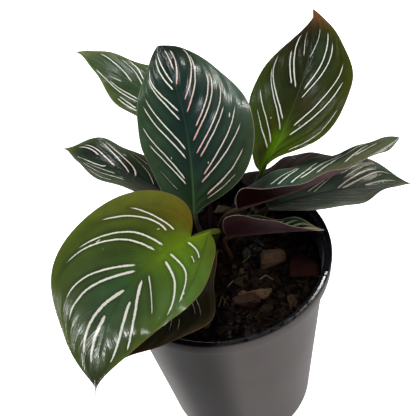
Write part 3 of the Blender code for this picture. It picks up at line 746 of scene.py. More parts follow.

# Each leaf in mm and degrees, as in the solids. base: where the blade starts, its height above the pot's
# rim. bow: how far the stalk swings out on its way there. heading turns from +Y to +X, pitch is upwards;
# sweep and bend are what they gain along the blade; roll tips the blade about its midrib.
# left and right: half widths at five stations. fold: how far a half rises from flat at the midrib, at the
# base and at the tip. cup: the further turn across it. lobe: how far the first rows slant back.
# start: the share of the blade that a half begins after. wave: height, number and the halves' phases.
# slant: how far a side vein of each half runs on towards the tip, and how much it hooks at the margin.
# Colours of the upper skin: heart, its middle; base_tone, tip, rim, and the line of its edge, which is
# partly the margin's own colour and partly a painted highlight. patches: shares along and across, their
# reach, a colour and its strength; a few are painted sheen. under, midrib: at base and tip.
# stalk: at the foot, midway and at the blade. line: the stripes' width in mm. pink: how pink they are.
# left_stripes and right_stripes: each a row of places in hundredths along and across the blade, near the
# midrib first, with a width in mm where that isn't line. Two places give a stripe that follows the side
# veins, more give one that bends through them. A half that isn't given has even pairs.
# USUAL_LEAF holds what most leaves share.
USUAL_LEAF = dict(
    bow=(0, 0), left_fold=(12, 6), right_fold=(12, 6), left_cup=(-15, -15), right_cup=(-15, -15),
    lobe=(20, 20), start=(0, 0), slant=((0.45, 0.2), (0.45, 0.2)), patches=(), line=1.0,
)
LEAVES = {
    "leaf_centre": dict(
        base=(-10.7, 17, 20), heading=18, pitch=59, sweep=-38, bend=-35, roll=20,
        length=111, left=(16, 27, 32, 25, 9.5), right=(9, 36, 41.5, 27.5, 13),
        right_cup=(-25, -45), lobe=(20, 17), wave=(0.9, 3, 0.10, 0.85), slant=((0.45, 0.2), (0.43, 0.2)),
        heart="#182f29", base_tone="#263d19", tip="#111a02", rim="#485632", edge="#8c987a",
        under=("#28191f", "#39262b"), midrib=("#48633b", "#2e4634"),
        stalk=("#1f0e0c", "#393927", "#434b30"), pink=(0.1, 1.0),
        # The second patch, pale grey-green near the right margin, is a painted sheen.
        patches=((0.5, -0.8, 0.4, 0.4, "#3c573a", 0.65), (0.62, 0.9, 0.16, 0.3, "#5b7269", 0.5)),
        left_stripes=(
            (75, 4, 95, 34), (71, 8, 93, 51), (58, 8, 90, 84), (53, 9, 85, 76), (36, 8, 73, 79),
            (31, 10, 69, 84), (20, 19, 56, 89), (17, 19, 43, 82), (15, 46, 27, 80, 0.4),
        ),
        right_stripes=(
            (82, 10, 95, 22), (73, 3, 94, 44), (63, 9, 92, 89), (56, 7, 87, 79), (47, 16, 74, 73),
            (40, 8, 74, 79), (33, 12, 67, 79), (31, 18, 54, 64), (22, 26, 53, 80), (18, 24, 45, 82),
            (13, 53, 33, 85), (11, 67, 23, 86, 0.5),
        ),
    ),
    "leaf_upper_right": dict(
        bow=(5, -5), base=(34.5, 38.5, 22), heading=58, pitch=41, sweep=-46, bend=-21, roll=15,
        length=122, left=(14.5, 30, 36.5, 22, 1), right=(7, 32, 36, 20.5, 6),
        lobe=(5, 3), start=(0.02, 0.06), wave=(1.2, 3, 0.20, 0.80), slant=((0.5, 0.3), (0.5, 0.3)),
        heart="#1f2700", base_tone="#698b07", tip="#795024", rim="#474e08", edge="#5a4420",
        under=("#28191f", "#392427"), midrib=("#537b0a", "#2e3911"),
        stalk=("#1f0e0c", "#302c17", "#3d530c"), pink=(0.15, 0.1),
        patches=(
            (0.97, 0.0, 0.05, 0.9, "#8b5530", 0.8), (0.82, -0.6, 0.16, 0.5, "#261b08", 0.9),
            (0.8, 0.1, 0.12, 0.3, "#1c190a", 0.8), (0.28, -0.25, 0.08, 0.4, "#3c2c08", 0.7),
            (0.12, -0.3, 0.06, 0.5, "#3a2808", 0.8), (0.1, 0.0, 0.16, 0.2, "#6fa80e", 0.7),
            (0.42, 0.2, 0.08, 0.3, "#3a330c", 0.6), (0.3, -0.6, 0.14, 0.4, "#3a4a06", 0.5),
            (0.4, -0.75, 0.18, 0.3, "#3c5222", 0.6), (0.7, 0.35, 0.12, 0.25, "#2c4028", 0.5),
        ),
        left_stripes=(
            (70, 12, 86, 31, 0.45), (51, 8, 85, 60), (53, 19, 74, 54), (32, 10, 72, 85), (26, 6, 64, 78),
            (18, 16, 49, 82), (15, 23, 35, 77),
        ),
        right_stripes=(
            (69, 4, 86, 39, 0.6), (50, 10, 83, 68), (45, 12, 76, 72), (30, 23, 65, 83), (25, 30, 55, 84),
            (17, 89, 42, 92, 0.6), (22, 93, 34, 90, 0.5),
        ),
    ),
    "leaf_upper_left": dict(
        base=(0.5, 66, 42), heading=-47, pitch=34, sweep=6, bend=-35, roll=-2,
        length=112, left=(17.5, 19.5, 20, 8, 1), right=(17, 24.5, 22.5, 14.5, 7),
        left_fold=(2, 11), right_fold=(0, 10), wave=(1.4, 3, 0.35, 0.85),
        slant=((0.45, 0.1), (0.45, 0.1)),
        heart="#3a4e2e", base_tone="#30311a", tip="#737844", rim="#64713a", edge="#8c984e",
        under=("#28191f", "#392427"), midrib=("#536d39", "#536d39"),
        stalk=("#1f0a0a", "#2c1416", "#35241f"), pink=(0.0, 0.0),
        left_stripes=(
            (56, 24, 65, 45), (38, 50, 75, 81), (40, 41, 61, 60), (36, 74, 49, 73), (34, 84, 49, 83),
        ),
        right_stripes=((52, 2, 84, 63), (45, 12, 71, 78), (48, 32, 68, 89)),
    ),
    "leaf_mid_left": dict(
        base=(-17, 38, 7), heading=-55, pitch=30.5, sweep=10, bend=-46, roll=-1,
        length=107.5, left=(15.5, 23, 22.5, 9.5, 1), right=(15.5, 25.5, 19, 18, 4),
        left_fold=(53, 12), right_fold=(-20, 26), wave=(1.2, 3, 0.30, 0.85),
        slant=((0.5, 0.2), (0.6, 0.15)),
        heart="#1a2a18", base_tone="#16231c", tip="#707a3c", rim="#626c4c", edge="#7a6a5c",
        under=("#2c1f21", "#463336"), midrib=("#2e3b29", "#2e3b29"),
        stalk=("#1f0a0a", "#2c1416", "#35241f"), pink=(0.0, 0.7),
        patches=((0.16, -0.7, 0.14, 0.45, "#301e21", 0.85), (0.6, 0.1, 0.3, 0.25, "#15211e", 0.6)),
        left_stripes=(
            (55, 25, 66, 50, 80, 62), (45, 42, 68, 70, 0.6), (36, 58, 69, 82, 0.6),
            (41, 85, 60, 88, 0.45),
        ),
        right_stripes=(
            (68, 15, 74, 27, 86, 40), (52, 2, 61, 17, 69, 33, 84, 55, 1.1),
            (41, 2, 50, 28, 58, 45, 74, 74), (36, 2, 49, 45, 58.5, 65, 73, 84),
            (23, 5, 34, 42, 43, 62, 53, 87, 0.4), (36, 65, 43, 78, 51, 90, 0.34),
        ),
    ),
    "leaf_front_left": dict(
        base=(-2.5, -21.5, 42), heading=-106, pitch=14, sweep=-50, bend=-77, roll=23,
        length=120, left=(16, 30.5, 28, 17, 2), right=(26, 42, 41, 19.5, 1),
        left_fold=(-1, -1), right_fold=(21, -1), left_cup=(-20, -20), right_cup=(-20, -20), lobe=(26, 38),
        start=(0.01, 0.10), wave=(1.2, 3, 0.40, 0.55), slant=((0.2, 0.42), (0.3, 0.42)),
        heart="#3d5027", base_tone="#545a00", tip="#292304", rim="#5a6a17", edge="#86684a",
        under=("#28191f", "#3d2b2c"), midrib=("#6d8507", "#2b3e14"),
        stalk=("#1f0e0c", "#2e2c0c", "#48530c"), line=1.2, pink=(0.15, 0.25),
        patches=(
            (0.25, 0.35, 0.22, 0.8, "#384b08", 0.6), (0.12, 0.0, 0.2, 0.2, "#769508", 0.75),
            (0.1, 0.65, 0.13, 0.45, "#6f5c08", 0.95), (0.25, 0.95, 0.1, 0.3, "#666a22", 0.7),
            (0.2, -0.3, 0.14, 0.5, "#658c14", 0.7), (0.35, -0.85, 0.22, 0.35, "#5a8438", 0.6),
            (0.62, 0.1, 0.14, 0.5, "#455a40", 0.6), (0.5, 0.05, 0.14, 0.2, "#2f5a30", 0.6),
            (0.97, 0.0, 0.05, 1.0, "#4a5626", 0.7),
        ),
        left_stripes=(
            (52, 19, 83, 61, 1.6), (41, 12, 75, 84, 1.6), (37, 15, 52, 68, 0.7), (27, 16, 48, 89, 1.4),
            (23, 10, 37, 85, 1.2), (13, 10, 14, 57, 1.0), (16, 40, 17, 54, 0.7),
        ),
        right_stripes=(
            (18, 27, 22, 48, 25.5, 67, 28.5, 78, 1.1), (21, 28, 25, 52, 30.3, 70, 36, 83, 1.1),
            (24, 9, 47, 79, 1.2), (28, 9, 53, 83, 1.2), (38, 10, 63, 73, 1.2), (40, 5, 70, 72, 1.4),
            (49, 1, 81, 48, 1.8), (63, 7, 84, 25, 1.9),
        ),
    ),
    "leaf_front_under": dict(
        base=(-1.5, -2.5, 4), heading=-131, pitch=23, sweep=-6, bend=-53, roll=-1,
        length=95, left=(5, 18, 36, 22, 5), right=(18, 28, 34, 22, 6),
        wave=(0.8, 3, 0.40, 0.60),
        heart="#222b1a", base_tone="#151c17", tip="#2f1e08", rim="#3b2c14", edge="#6a4c34",
        under=("#211719", "#2e2124"), midrib=("#1a1d14", "#1a1d14"),
        stalk=("#1f0e0c", "#21170c", "#271f0f"), line=0.5, pink=(1.0, 1.0),
        left_stripes=(
            (46, 52, 53, 74, 0.4), (44, 60, 52, 83, 0.4), (62, 52, 69, 72, 0.4), (60, 62, 66, 80, 0.4),
        ),
        right_stripes=(),
    ),
    "leaf_right_upper": dict(
        bow=(-4, 9), base=(16, 6.5, 28), heading=89, pitch=4, sweep=-25, bend=2, roll=4,
        length=111, left=(15, 22.5, 21, 13, 8), right=(21, 12.5, 15, 16.5, 5.5),
        left_fold=(2, 6), right_fold=(83, 39), left_cup=(-10, -10), right_cup=(-10, -10),
        wave=(1.4, 4, 0.15, 0.30), slant=((0.6, 0.2), (0.6, 0.2)),
        heart="#6d6c4b", base_tone="#1b372f", tip="#677353", rim="#567346", edge="#a89c90",
        under=("#180404", "#664e52"), midrib=("#4a6642", "#4a6642"),
        stalk=("#1f0e0c", "#2c1f17", "#392c21"), line=0.95, pink=(0.0, 0.0),
        patches=((0.3, -0.5, 0.26, 0.9, "#2a4a3c", 0.85), (0.62, -0.75, 0.2, 0.4, "#3a5644", 0.6)),
        left_stripes=(
            (23, 53, 29, 67, 36, 78, 42, 90), (26, 43, 32, 57, 38, 73, 43, 82),
            (33, 30, 40, 48, 45, 57, 53, 70), (39, 37, 46, 47, 53, 57, 69, 85),
            (49, 32, 56, 45, 63, 58, 0.8), (58.5, 47, 70, 74, 84, 92),
            (65.5, 32, 71.5, 45, 77, 62, 84, 74), (73, 45, 88, 56),
        ),
    ),
    "leaf_right_lower": dict(
        base=(35.5, 14.5, 16), heading=87, pitch=7, sweep=-3, bend=-26, roll=3,
        length=95, left=(13.5, 23, 25, 23.5, 6), right=(9.5, 19.5, 23.5, 8, 1),
        left_fold=(23, 20), right_fold=(30, 19), wave=(0.9, 3, 0.70, 0.95),
        slant=((0.48, 0.3), (0.5, 0.3)),
        # The heart is painted a paler grey-green as a painted sheen, and so is the wide pale patch over the
        # near half.
        heart="#687d6c", base_tone="#0f0b15", tip="#9fab7b", rim="#434f3b", edge="#6c665c",
        under=("#1a0d11", "#352529"), midrib=("#364039", "#364039"),
        stalk=("#1f0e0c", "#2c1f12", "#392c17"), pink=(0.15, 0.0),
        patches=(
            (0.55, -0.4, 0.28, 0.35, "#1c2a26", 0.7), (0.5, 0.65, 0.45, 0.45, "#88957e", 0.7),
            (0.92, -0.5, 0.1, 0.6, "#405b3c", 0.6),
        ),
        left_stripes=(
            (28, 12, 36, 27, 42, 37, 0.7), (31.5, 7, 38, 22, 47, 42, 0.8),
            (47.5, 4, 54, 17, 62, 33, 70, 45, 80, 58, 1.3),
            (51, 2, 58.5, 13, 67, 27, 75, 38, 82.5, 52, 88, 66, 1.3), (67, 2, 74, 8, 80, 14, 89, 20, 1.2),
            (60, 58, 67, 68, 73, 83, 0.6),
        ),
        right_stripes=(
            (43, 30, 51, 43, 62, 55, 71, 63, 0.34), (27, 33, 38, 55, 45, 73, 60, 88, 0.34),
            (14, 45, 25, 65, 38, 87, 0.32), (60, 32, 75, 55, 0.3),
        ),
    ),
    "leaf_small_rolled": dict(
        base=(7.5, 8.5, 3), heading=104, pitch=10, sweep=-1, bend=-11, roll=2,
        length=60, left=(11, 12, 8, 7.5, 1.5), right=(18.5, 21, 16, 8.5, 1),
        left_fold=(60, 50), right_fold=(91, 71), left_cup=(20, 20), right_cup=(-10, -10), lobe=(65, 20),
        wave=(0.8, 3, 0.10, 0.60),
        heart="#314d17", base_tone="#5b774f", tip="#f4e4a0", rim="#405b2f", edge="#b4a48e",
        under=("#40262a", "#5e484c"), midrib=("#606d46", "#606d46"),
        stalk=("#1f0e0c", "#392717", "#463021"), line=0.6, pink=(0.5, 0.5),
    ),
    "leaf_right_back": dict(
        base=(28, 42, 8), heading=74, pitch=4, sweep=-14, bend=-35, roll=2,
        length=87, left=(15, 12, 18, 14.5, 7), right=(14.5, 19, 22, 15.5, 5.5),
        left_fold=(9, 4), wave=(0.8, 3, 0.10, 0.60),
        heart="#33200a", base_tone="#140b04", tip="#3a3c1c", rim="#42290a", edge="#4a3a20",
        under=("#2c1c05", "#36290d"), midrib=("#1f1207", "#1f1207"),
        stalk=("#1f0e0c", "#2c1a0f", "#392417"), line=0.6, pink=(0.8, 0.8),
        left_stripes=(),
        right_stripes=(),
    ),
}


def midrib_runs(leaf, shares):
    """The direction in which the midrib runs at shares of its length."""
    heading = np.radians(leaf["heading"] + leaf["sweep"] * shares)
    pitch = np.radians(leaf["pitch"] + leaf["bend"] * shares)
    return np.stack([np.cos(pitch) * np.sin(heading), np.cos(pitch) * np.cos(heading), np.sin(pitch)], 1)


def blade_frames(leaf, shares):
    """Points on the midrib with its directions along, to the right and up, at shares of its length."""
    runs = midrib_runs(leaf, (np.arange(MIDRIB_STEPS) + 0.5) / MIDRIB_STEPS)
    path = np.vstack([np.zeros(3), np.cumsum(runs, axis=0)]) * leaf["length"] / MIDRIB_STEPS
    marks = np.linspace(0, 1, MIDRIB_STEPS + 1)
    points = np.stack([np.interp(shares, marks, path[:, axis]) for axis in range(3)], 1)
    points += np.array(leaf["base"]) + (0.0, 0.0, POT_HEIGHT)
    along = midrib_runs(leaf, shares)
    level = np.cross(along, (0.0, 0.0, 1.0))
    level /= np.linalg.norm(level, axis=1)[:, None]
    above = np.cross(level, along)
    roll = math.radians(leaf["roll"])
    side = math.cos(roll) * level + math.sin(roll) * above
    return points, along, side, math.cos(roll) * above - math.sin(roll) * level


def half_width(shares, stations):
    """A smooth outline through the stations, which lie closer together towards both ends."""
    parts = len(stations) + 1
    knots = np.array([-stations[0], 0.0, *stations, 0.0, stations[-1]])
    place = np.arccos(np.clip(1 - 2 * shares, -1, 1)) / math.pi * parts
    index = np.clip(place.astype(int), 0, parts - 1)
    t = place - index
    a, b, c, d = (knots[index + step] for step in range(4))
    curve = 2 * b + (c - a) * t + (2 * a - 5 * b + 4 * c - d) * t**2 + (3 * b - a - 3 * c + d) * t**3
    return np.maximum(curve / 2, 0.0) + TIP_HALF


def between(ends, shares):
    """What lies between two values or colours at shares of the way."""
    return ends[0] + (ends[1] - ends[0]) * shares


def smooth_step(low, high, values):
    """Rises softly from 0 to 1 as the values go from low to high."""
    share = np.clip((values - low) / (high - low), 0, 1)
    return share * share * (3 - 2 * share)


def blade_half(leaf, shares, across, half):
    """One half of the blade as rows of points, its half widths, and how far each row has its full fold."""
    points, along, right, up = blade_frames(leaf, shares)
    name = ("left", "right")[half]
    side = (-1, 1)[half]
    own = np.clip((shares - leaf["start"][half]) / (1 - leaf["start"][half]), 0, 1)
    width = half_width(own, leaf[name])
    folded = width / (width + UNFOLDED)
    fold = np.radians(between(leaf[name + "_fold"], shares)) * folded
    cup = np.radians(between(leaf[name + "_cup"], shares))
    lobe = math.radians(leaf["lobe"][half]) * np.clip(1 - own / LOBE_REACH, 0, 1) ** 1.5
    height, count, *phases = leaf["wave"]
    ripple = height * np.sin(2 * math.pi * (count * shares + phases[half])) * np.sin(math.pi * shares) ** 0.5
    columns = []
    for share in across:
        out = width * (np.sin(fold + cup * share) - np.sin(fold)) / cup
        rise = width * (np.cos(fold) - np.cos(fold + cup * share)) / cup + ripple * share**2
        columns.append(
            points
            + right * (side * out * np.cos(lobe))[:, None]
            + up * rise[:, None]
            - along * (out * np.sin(lobe))[:, None]
        )
    return np.stack(columns, 1), width, folded


def vein_reach(leaf, half, start, across):
    """How far along the blade the side vein from a place on the midrib has come, at a share across."""
    slant, hook = leaf["slant"][half]
    lean = slant * (1 - np.exp(-(start - FIRST_VEIN) / LEAN_REACH))
    return np.maximum(start, 0) + lean * across + hook * (1 - start / HOOK_END) * across**4


def vein_starts(leaf, shares, across, half):
    """Where on the midrib the side vein through each point of a half starts, as a share of its length."""
    starts = np.linspace(FIRST_VEIN, 1.05, 300)
    columns = []
    for share in across:
        reach = np.maximum.accumulate(vein_reach(leaf, half, starts, share))
        columns.append(np.interp(shares, reach, starts))
    return np.stack(columns, 1)


def spread_of(grid, field):
    """How many mm of the surface go to one unit of a field, square to the field's lines."""
    down = np.gradient(grid, axis=0)
    over = np.gradient(grid, axis=1)
    field_down = np.gradient(field, axis=0)
    field_over = np.gradient(field, axis=1)
    a = (down * down).sum(2)
    b = (down * over).sum(2)
    c = (over * over).sum(2)
    steep = c * field_down**2 - 2 * b * field_down * field_over + a * field_over**2
    return 1 / np.sqrt(np.maximum(steep / (a * c - b * b + 1e-9), 1e-6))


def even_stripes(leaf, half):
    """Pairs of stripes at even steps, for a half whose own stripes the photograph hides."""
    found = []
    for middle in EVEN_PAIRS:
        # Near the base a pair starts further out and ends closer to the margin than near the tip.
        near = 0.1 + 0.3 * (0.7 - middle) ** 2
        far = 0.86 - 0.5 * middle**2
        for start in (middle - PAIR_OFFSET / 2, middle + PAIR_OFFSET / 2):
            ends = (vein_reach(leaf, half, start, near), near, vein_reach(leaf, half, start, far), far)
            found.append([100 * end for end in ends])
    return found


def stripe_marks(leaf, shares, across, starts, grid, half):
    """For each face of a half: its corners' mm from the nearest stripe, the share along it, and its width."""
    stripes = leaf.get(("left_stripes", "right_stripes")[half], even_stripes(leaf, half))
    outwards = slice(None, None, (-1, 1)[half])
    lowest = np.full((len(shares) - 1, len(across) - 1), np.inf)
    best = np.zeros((*lowest.shape, 4, 3))
    for stripe in stripes:
        stops = np.reshape(stripe[:len(stripe) // 2 * 2], (-1, 2)) / 100
        width = stripe[-1] if len(stripe) % 2 else leaf["line"]
        step = (stops[-1] - stops[0]) / ((stops[-1] - stops[0]) @ (stops[-1] - stops[0]))
        run = (shares[:, None] - stops[0, 0]) * step[0] + (across - stops[0, 1]) * step[1]
        if len(stops) > 2:
            bend = np.polyfit(stops[:, 1], stops[:, 0], 2)
            off = shares[:, None] - np.polyval(bend, across)
        else:
            veins = []
            for along, out in stops:
                row = np.array([np.interp(along, shares, column) for column in starts.T])
                veins.append(np.interp(out, across[outwards], row[outwards]))
            off = starts - veins[0] - (veins[1] - veins[0]) * run
        off = off * spread_of(grid, off)
        marks = np.stack([off, run, np.full(run.shape, width)], 2)
        corners = np.stack([marks[:-1, :-1], marks[1:, :-1], marks[1:, 1:], marks[:-1, 1:]], 2)
        middle = corners.mean(2)
        # A face past a stripe's end counts as 60 mm further off for each stripe's length that it is past.
        score = np.abs(middle[:, :, 0]) + 60 * np.clip(np.abs(middle[:, :, 1] - 0.5) - 0.5, 0, None)
        nearer = score < lowest
        best[nearer] = corners[nearer]
        lowest = np.minimum(score, lowest)
    return best


def ground_tones(leaf, shares, signed):
    """The blade's ground colour, from its heart out to its rim, base and tip, with a few soft patches."""
    tones = np.broadcast_to(linear(leaf["heart"])[:3], (*signed.shape, 3)).copy()
    along = np.broadcast_to(shares[:, None], signed.shape)
    washes = [
        (0.7 * np.abs(signed) ** 2.5, leaf["rim"]),
        (np.exp(-((along / 0.2) ** 2)) * (1 - 0.4 * np.abs(signed)), leaf["base_tone"]),
        (smooth_step(0.78, 1.0, along) * 0.85, leaf["tip"]),
    ]
    for at, over, reach, breadth, colour, strength in leaf["patches"]:
        spot = np.exp(-(((along - at) / reach) ** 2) - ((signed - over) / breadth) ** 2)
        washes.append((strength * spot, colour))
    for share, colour in washes:
        tones += (np.array(linear(colour)[:3]) - tones) * share[:, :, None]
    return tones


def blade_shape(leaf):
    """The two faces of the blade as grids of points in mm, with what the finish needs at each point."""
    steps = np.arange(BLADE_ROWS + 1) / BLADE_ROWS
    # The rows lie closer together towards the base and the tip.
    shares = 0.5 * steps + 0.25 * (1 - np.cos(math.pi * steps))
    across = np.arange(BLADE_COLUMNS + 1) / BLADE_COLUMNS
    halves = []
    stripes = []
    for half, columns in enumerate((across[::-1], across)):
        grid, width, folded = blade_half(leaf, shares, columns, half)
        starts = vein_starts(leaf, shares, columns, half)
        stripes.append(stripe_marks(leaf, shares, columns, starts, grid, half))
        signed = np.broadcast_to((-1, 1)[half] * columns, starts.shape)
        wide = np.broadcast_to(width[:, None], starts.shape)
        full = np.broadcast_to(folded[:, None], starts.shape)
        # The halves share the midrib, which only the right one keeps.
        kept = slice(0, len(columns) - 1 + half)
        halves.append([part[:, kept] for part in (grid, starts, signed, wide, full)])
    grid, starts, signed, wide, full = (np.concatenate(pair, 1) for pair in zip(*halves))
    normal = np.cross(np.gradient(grid, axis=1), np.gradient(grid, axis=0))
    normal /= np.linalg.norm(normal, axis=2)[:, :, None]
    # Where the blade is too narrow for its fold, its faces point up from the midrib.
    _, _, _, up = blade_frames(leaf, shares)
    flat = full[:, :, None] ** 2
    normal = normal * flat + up[:, None, :] * (1 - flat)
    normal /= np.linalg.norm(normal, axis=2)[:, :, None]
    out = np.abs(signed)
    rib_away = out * wide
    margin = (1 - out) * wide
    rib_swell = np.exp(-((rib_away / RIB_HALF) ** 2))
    nerves = starts * leaf["length"] / NERVE_SPACING
    calm = np.clip(rib_away / RIB_CLEAR, 0, 1) * np.clip(margin / MARGIN_CLEAR, 0, 1)
    folds = FOLD_RELIEF * np.cos(2 * math.pi * nerves / NERVES_PER_FOLD)
    relief = calm * (folds + NERVE_RELIEF * np.cos(2 * math.pi * nerves))
    relief -= RIB_GROOVE * rib_swell * np.sqrt(1 - shares)[:, None]
    # Half of the thickness, which thins to a half at the margin.
    thick = BLADE / 2 * (1 - 0.5 * out**10)
    rib = RIB * ((1 - shares) ** 0.7)[:, None] * rib_swell
    along = np.broadcast_to(shares[:, None], out.shape)
    marks = {
        "place": np.stack([along, signed, margin], 2),
        "vein": np.stack([rib_away, nerves, np.where(signed < 0, *leaf["pink"])], 2),
    }
    upper = grid + normal * (relief + thick)[:, :, None]
    lower = grid + normal * (relief - thick - rib)[:, :, None]
    return upper, lower, ground_tones(leaf, shares, signed), marks, np.concatenate(stripes, 1)


def stalk_route(leaf, foot):
    """Points and radii of the stalk: up from its hole, over in a smooth bend, and on under the midrib."""
    foot = np.array([*foot, SOIL_LEVEL], float)
    shares = np.array([0.0, 0.01, 0.02, 0.035, 0.05, 0.07, 0.09])
    points, along, _, up = blade_frames(leaf, shares)
    radii = np.interp(shares, (0.0, 0.02, 0.05, 0.09), (STALK_KNEE, 1.5, 1.15, STALK_END))
    ends = points - up * (radii - STALK_SINK)[:, None]
    reach = np.linalg.norm(ends[0] - foot)
    rise = foot + np.array([0.0, 0.0, STALK_UPRIGHT])
    bow = np.array([*leaf["bow"], STALK_RISE * reach])
    handles = (rise + bow, ends[0] - along[0] * min(STALK_BEND * reach, STALK_BEND_MOST))
    route = [foot + np.array([0.0, 0.0, drop]) for drop in (-STALK_DEPTH, -4.0, 0.0, 2.0)]
    sizes = [STALK_FOOT] * 4
    for step in range(STALK_STEPS):
        t = step / STALK_STEPS
        curve = (1 - t) ** 3 * rise + 3 * (1 - t) ** 2 * t * handles[0]
        route.append(curve + 3 * (1 - t) * t**2 * handles[1] + t**3 * ends[0])
        sheath = (STALK_SHEATH - STALK_MIDDLE) * math.exp(-((t / STALK_SHEATH_REACH) ** 2))
        knee = (STALK_KNEE - STALK_MIDDLE) * math.exp(-(((1 - t) / STALK_KNEE_REACH) ** 2))
        sizes.append(STALK_MIDDLE + sheath + knee)
    return np.array(route + list(ends)), np.array(sizes + list(radii))


def stalk_shape(leaf, foot):
    """Rings of points round the stalk in mm, with a shallow groove along it, and their colours."""
    route, sizes = stalk_route(leaf, foot)
    runs = np.gradient(route, axis=0)
    runs /= np.linalg.norm(runs, axis=1)[:, None]
    turns = np.linspace(0, 2 * math.pi, STALK_SIDES, endpoint=False)
    groove = 1 - STALK_GROOVE * np.exp(-(((turns - math.pi) / 0.5) ** 2))
    side = np.cross(runs[0], (0.0, 1.0, 0.0))
    rings = []
    for point, run, size in zip(route, runs, sizes):
        side = side - run * (side @ run)
        side /= np.linalg.norm(side)
        ring = np.outer(np.cos(turns) * groove, side) + np.outer(np.sin(turns) * groove, np.cross(run, side))
        rings.append(point + ring * size)
    share = np.cumsum(np.r_[0.0, np.linalg.norm(np.diff(route, axis=0), axis=1)])
    share /= share[-1]
    low, middle, knee = (np.array(linear(tone)[:3]) for tone in leaf["stalk"])
    tones = between((low, middle), smooth_step(0.15, 0.6, share)[:, None])
    tones = between((tones, knee), smooth_step(0.7, 0.9, share)[:, None])
    return np.array(rings), np.repeat(tones[:, None, :], STALK_SIDES, 1)


def leaf_faces(rows, columns, rings):
    """The faces of the upper skin, underside, margin and stalk, and the finish that each takes."""
    under = rows * columns
    faces = []
    for row in range(rows - 1):
        for a in range(row * columns, (row + 1) * columns - 1):
            faces.append((a, a + columns, a + columns + 1, a + 1))
    faces += [tuple(under + corner for corner in face[::-1]) for face in faces]
    slots = [0] * (len(faces) // 2) + [1] * (len(faces) // 2)
    margin = list(range(columns))
    margin += [row * columns + columns - 1 for row in range(1, rows)]
    margin += [(rows - 1) * columns + column for column in range(columns - 2, -1, -1)]
    margin += [row * columns for row in range(rows - 2, 0, -1)]
    for first, second in zip(margin, margin[1:] + margin[:1]):
        faces.append((first, second, under + second, under + first))
    slots += [0] * len(margin)
    foot = 2 * under
    end = foot + (rings - 1) * STALK_SIDES
    for ring in range(foot, end, STALK_SIDES):
        for turn in range(STALK_SIDES):
            a = ring + turn
            b = ring + (turn + 1) % STALK_SIDES
            faces.append((a, b, b + STALK_SIDES, a + STALK_SIDES))
    faces += [tuple(range(foot + STALK_SIDES - 1, foot - 1, -1)), tuple(range(end, end + STALK_SIDES))]
    return faces, slots + [2] * (len(faces) - len(slots))


def leaf_mesh(name, leaf, foot, finishes):
    """The blade's two faces, closed at the margin, and the stalk, with what the finishes read of them."""
    upper, lower, tones, marks, stripes = blade_shape(leaf)
    rings, ring_tones = stalk_shape(leaf, foot)
    faces, slots = leaf_faces(*upper.shape[:2], len(rings))
    points = np.concatenate([part.reshape(-1, 3) for part in (upper, lower, rings)])
    mesh = new_mesh(name, points.tolist(), (), faces)
    for finish in finishes:
        mesh.materials.append(finish)
    mesh.polygons.foreach_set("material_index", slots)
    ends = [np.array(linear(tone)[:3]) for tone in leaf["under"]]
    below = between(ends, smooth_step(0.15, 0.55, marks["place"][:, :, :1]))
    colours = np.concatenate([part.reshape(-1, 3) for part in (tones, below, ring_tones)])
    store(mesh, "ground", "FLOAT_COLOR", np.c_[colours, np.ones(len(colours))])
    stalk_points = rings.size // 3
    along = np.r_[np.tile(marks["place"][:, :, 0].ravel(), 2), np.zeros(stalk_points)][:, None]
    for detail, pair in (("midrib", leaf["midrib"]), ("edge", (leaf["edge"], leaf["edge"]))):
        ends = [np.array(linear(tone)) for tone in pair]
        store(mesh, detail, "FLOAT_COLOR", between(ends, smooth_step(0.05, 0.6, along)))
    for mark, values in marks.items():
        flat = values.reshape(-1, 3)
        store(mesh, mark, "FLOAT_VECTOR", np.concatenate([flat, flat, np.zeros((stalk_points, 3))]))
    unmarked = np.tile(NO_STRIPE, (len(mesh.loops) - stripes.size // 3, 1))
    store(mesh, "stripe", "FLOAT_VECTOR", np.concatenate([stripes.reshape(-1, 3), unmarked]), "CORNER")
    shape = bmesh.new()
    shape.from_mesh(mesh)
    bmesh.ops.recalc_face_normals(shape, faces=shape.faces)
    shape.to_mesh(mesh)
    shape.free()
    mesh.shade_smooth()
    mesh.set_sharp_from_angle(angle=math.radians(55))
    return mesh


def read_mark(tree, name):
    """An attribute of the leaf's mesh, split into its three numbers."""
    mark = add_node(tree, "Attribute", attribute_name=name)
    return add_node(tree, "SeparateXYZ", {0: (mark, "Vector")})


def nerve_shade(tree, vein, cloud, strength, low, high):
    """The wave of the fine side veins, and how bright they and the soft cloud make the ground."""
    turn = add_node(tree, "Math", {0: (vein, "Y"), 1: 2 * math.pi}, operation="MULTIPLY")
    nerve = add_node(tree, "Math", {0: turn}, operation="COSINE")
    shade = add_node(tree, "Math", {0: nerve, 1: strength, 2: cloud}, operation="MULTIPLY_ADD")
    return nerve, add_node(tree, "MapRange", {0: shade, 1: 0.25, 2: 0.75, 3: low, 4: high})


def edged(tree, skin, place, reach, strength):
    """A skin edged with the leaf's own margin line and a painted highlight, as far in as reach in mm."""
    edge = add_node(tree, "Attribute", attribute_name="edge")
    margin = add_node(tree, "MapRange", {0: (place, "Z"), 1: 0.1, 2: reach, 3: strength, 4: 0.0}, **SOFT)
    return (add_node(tree, "Mix", {0: margin, 6: skin, 7: edge}, data_type="RGBA"), 2)


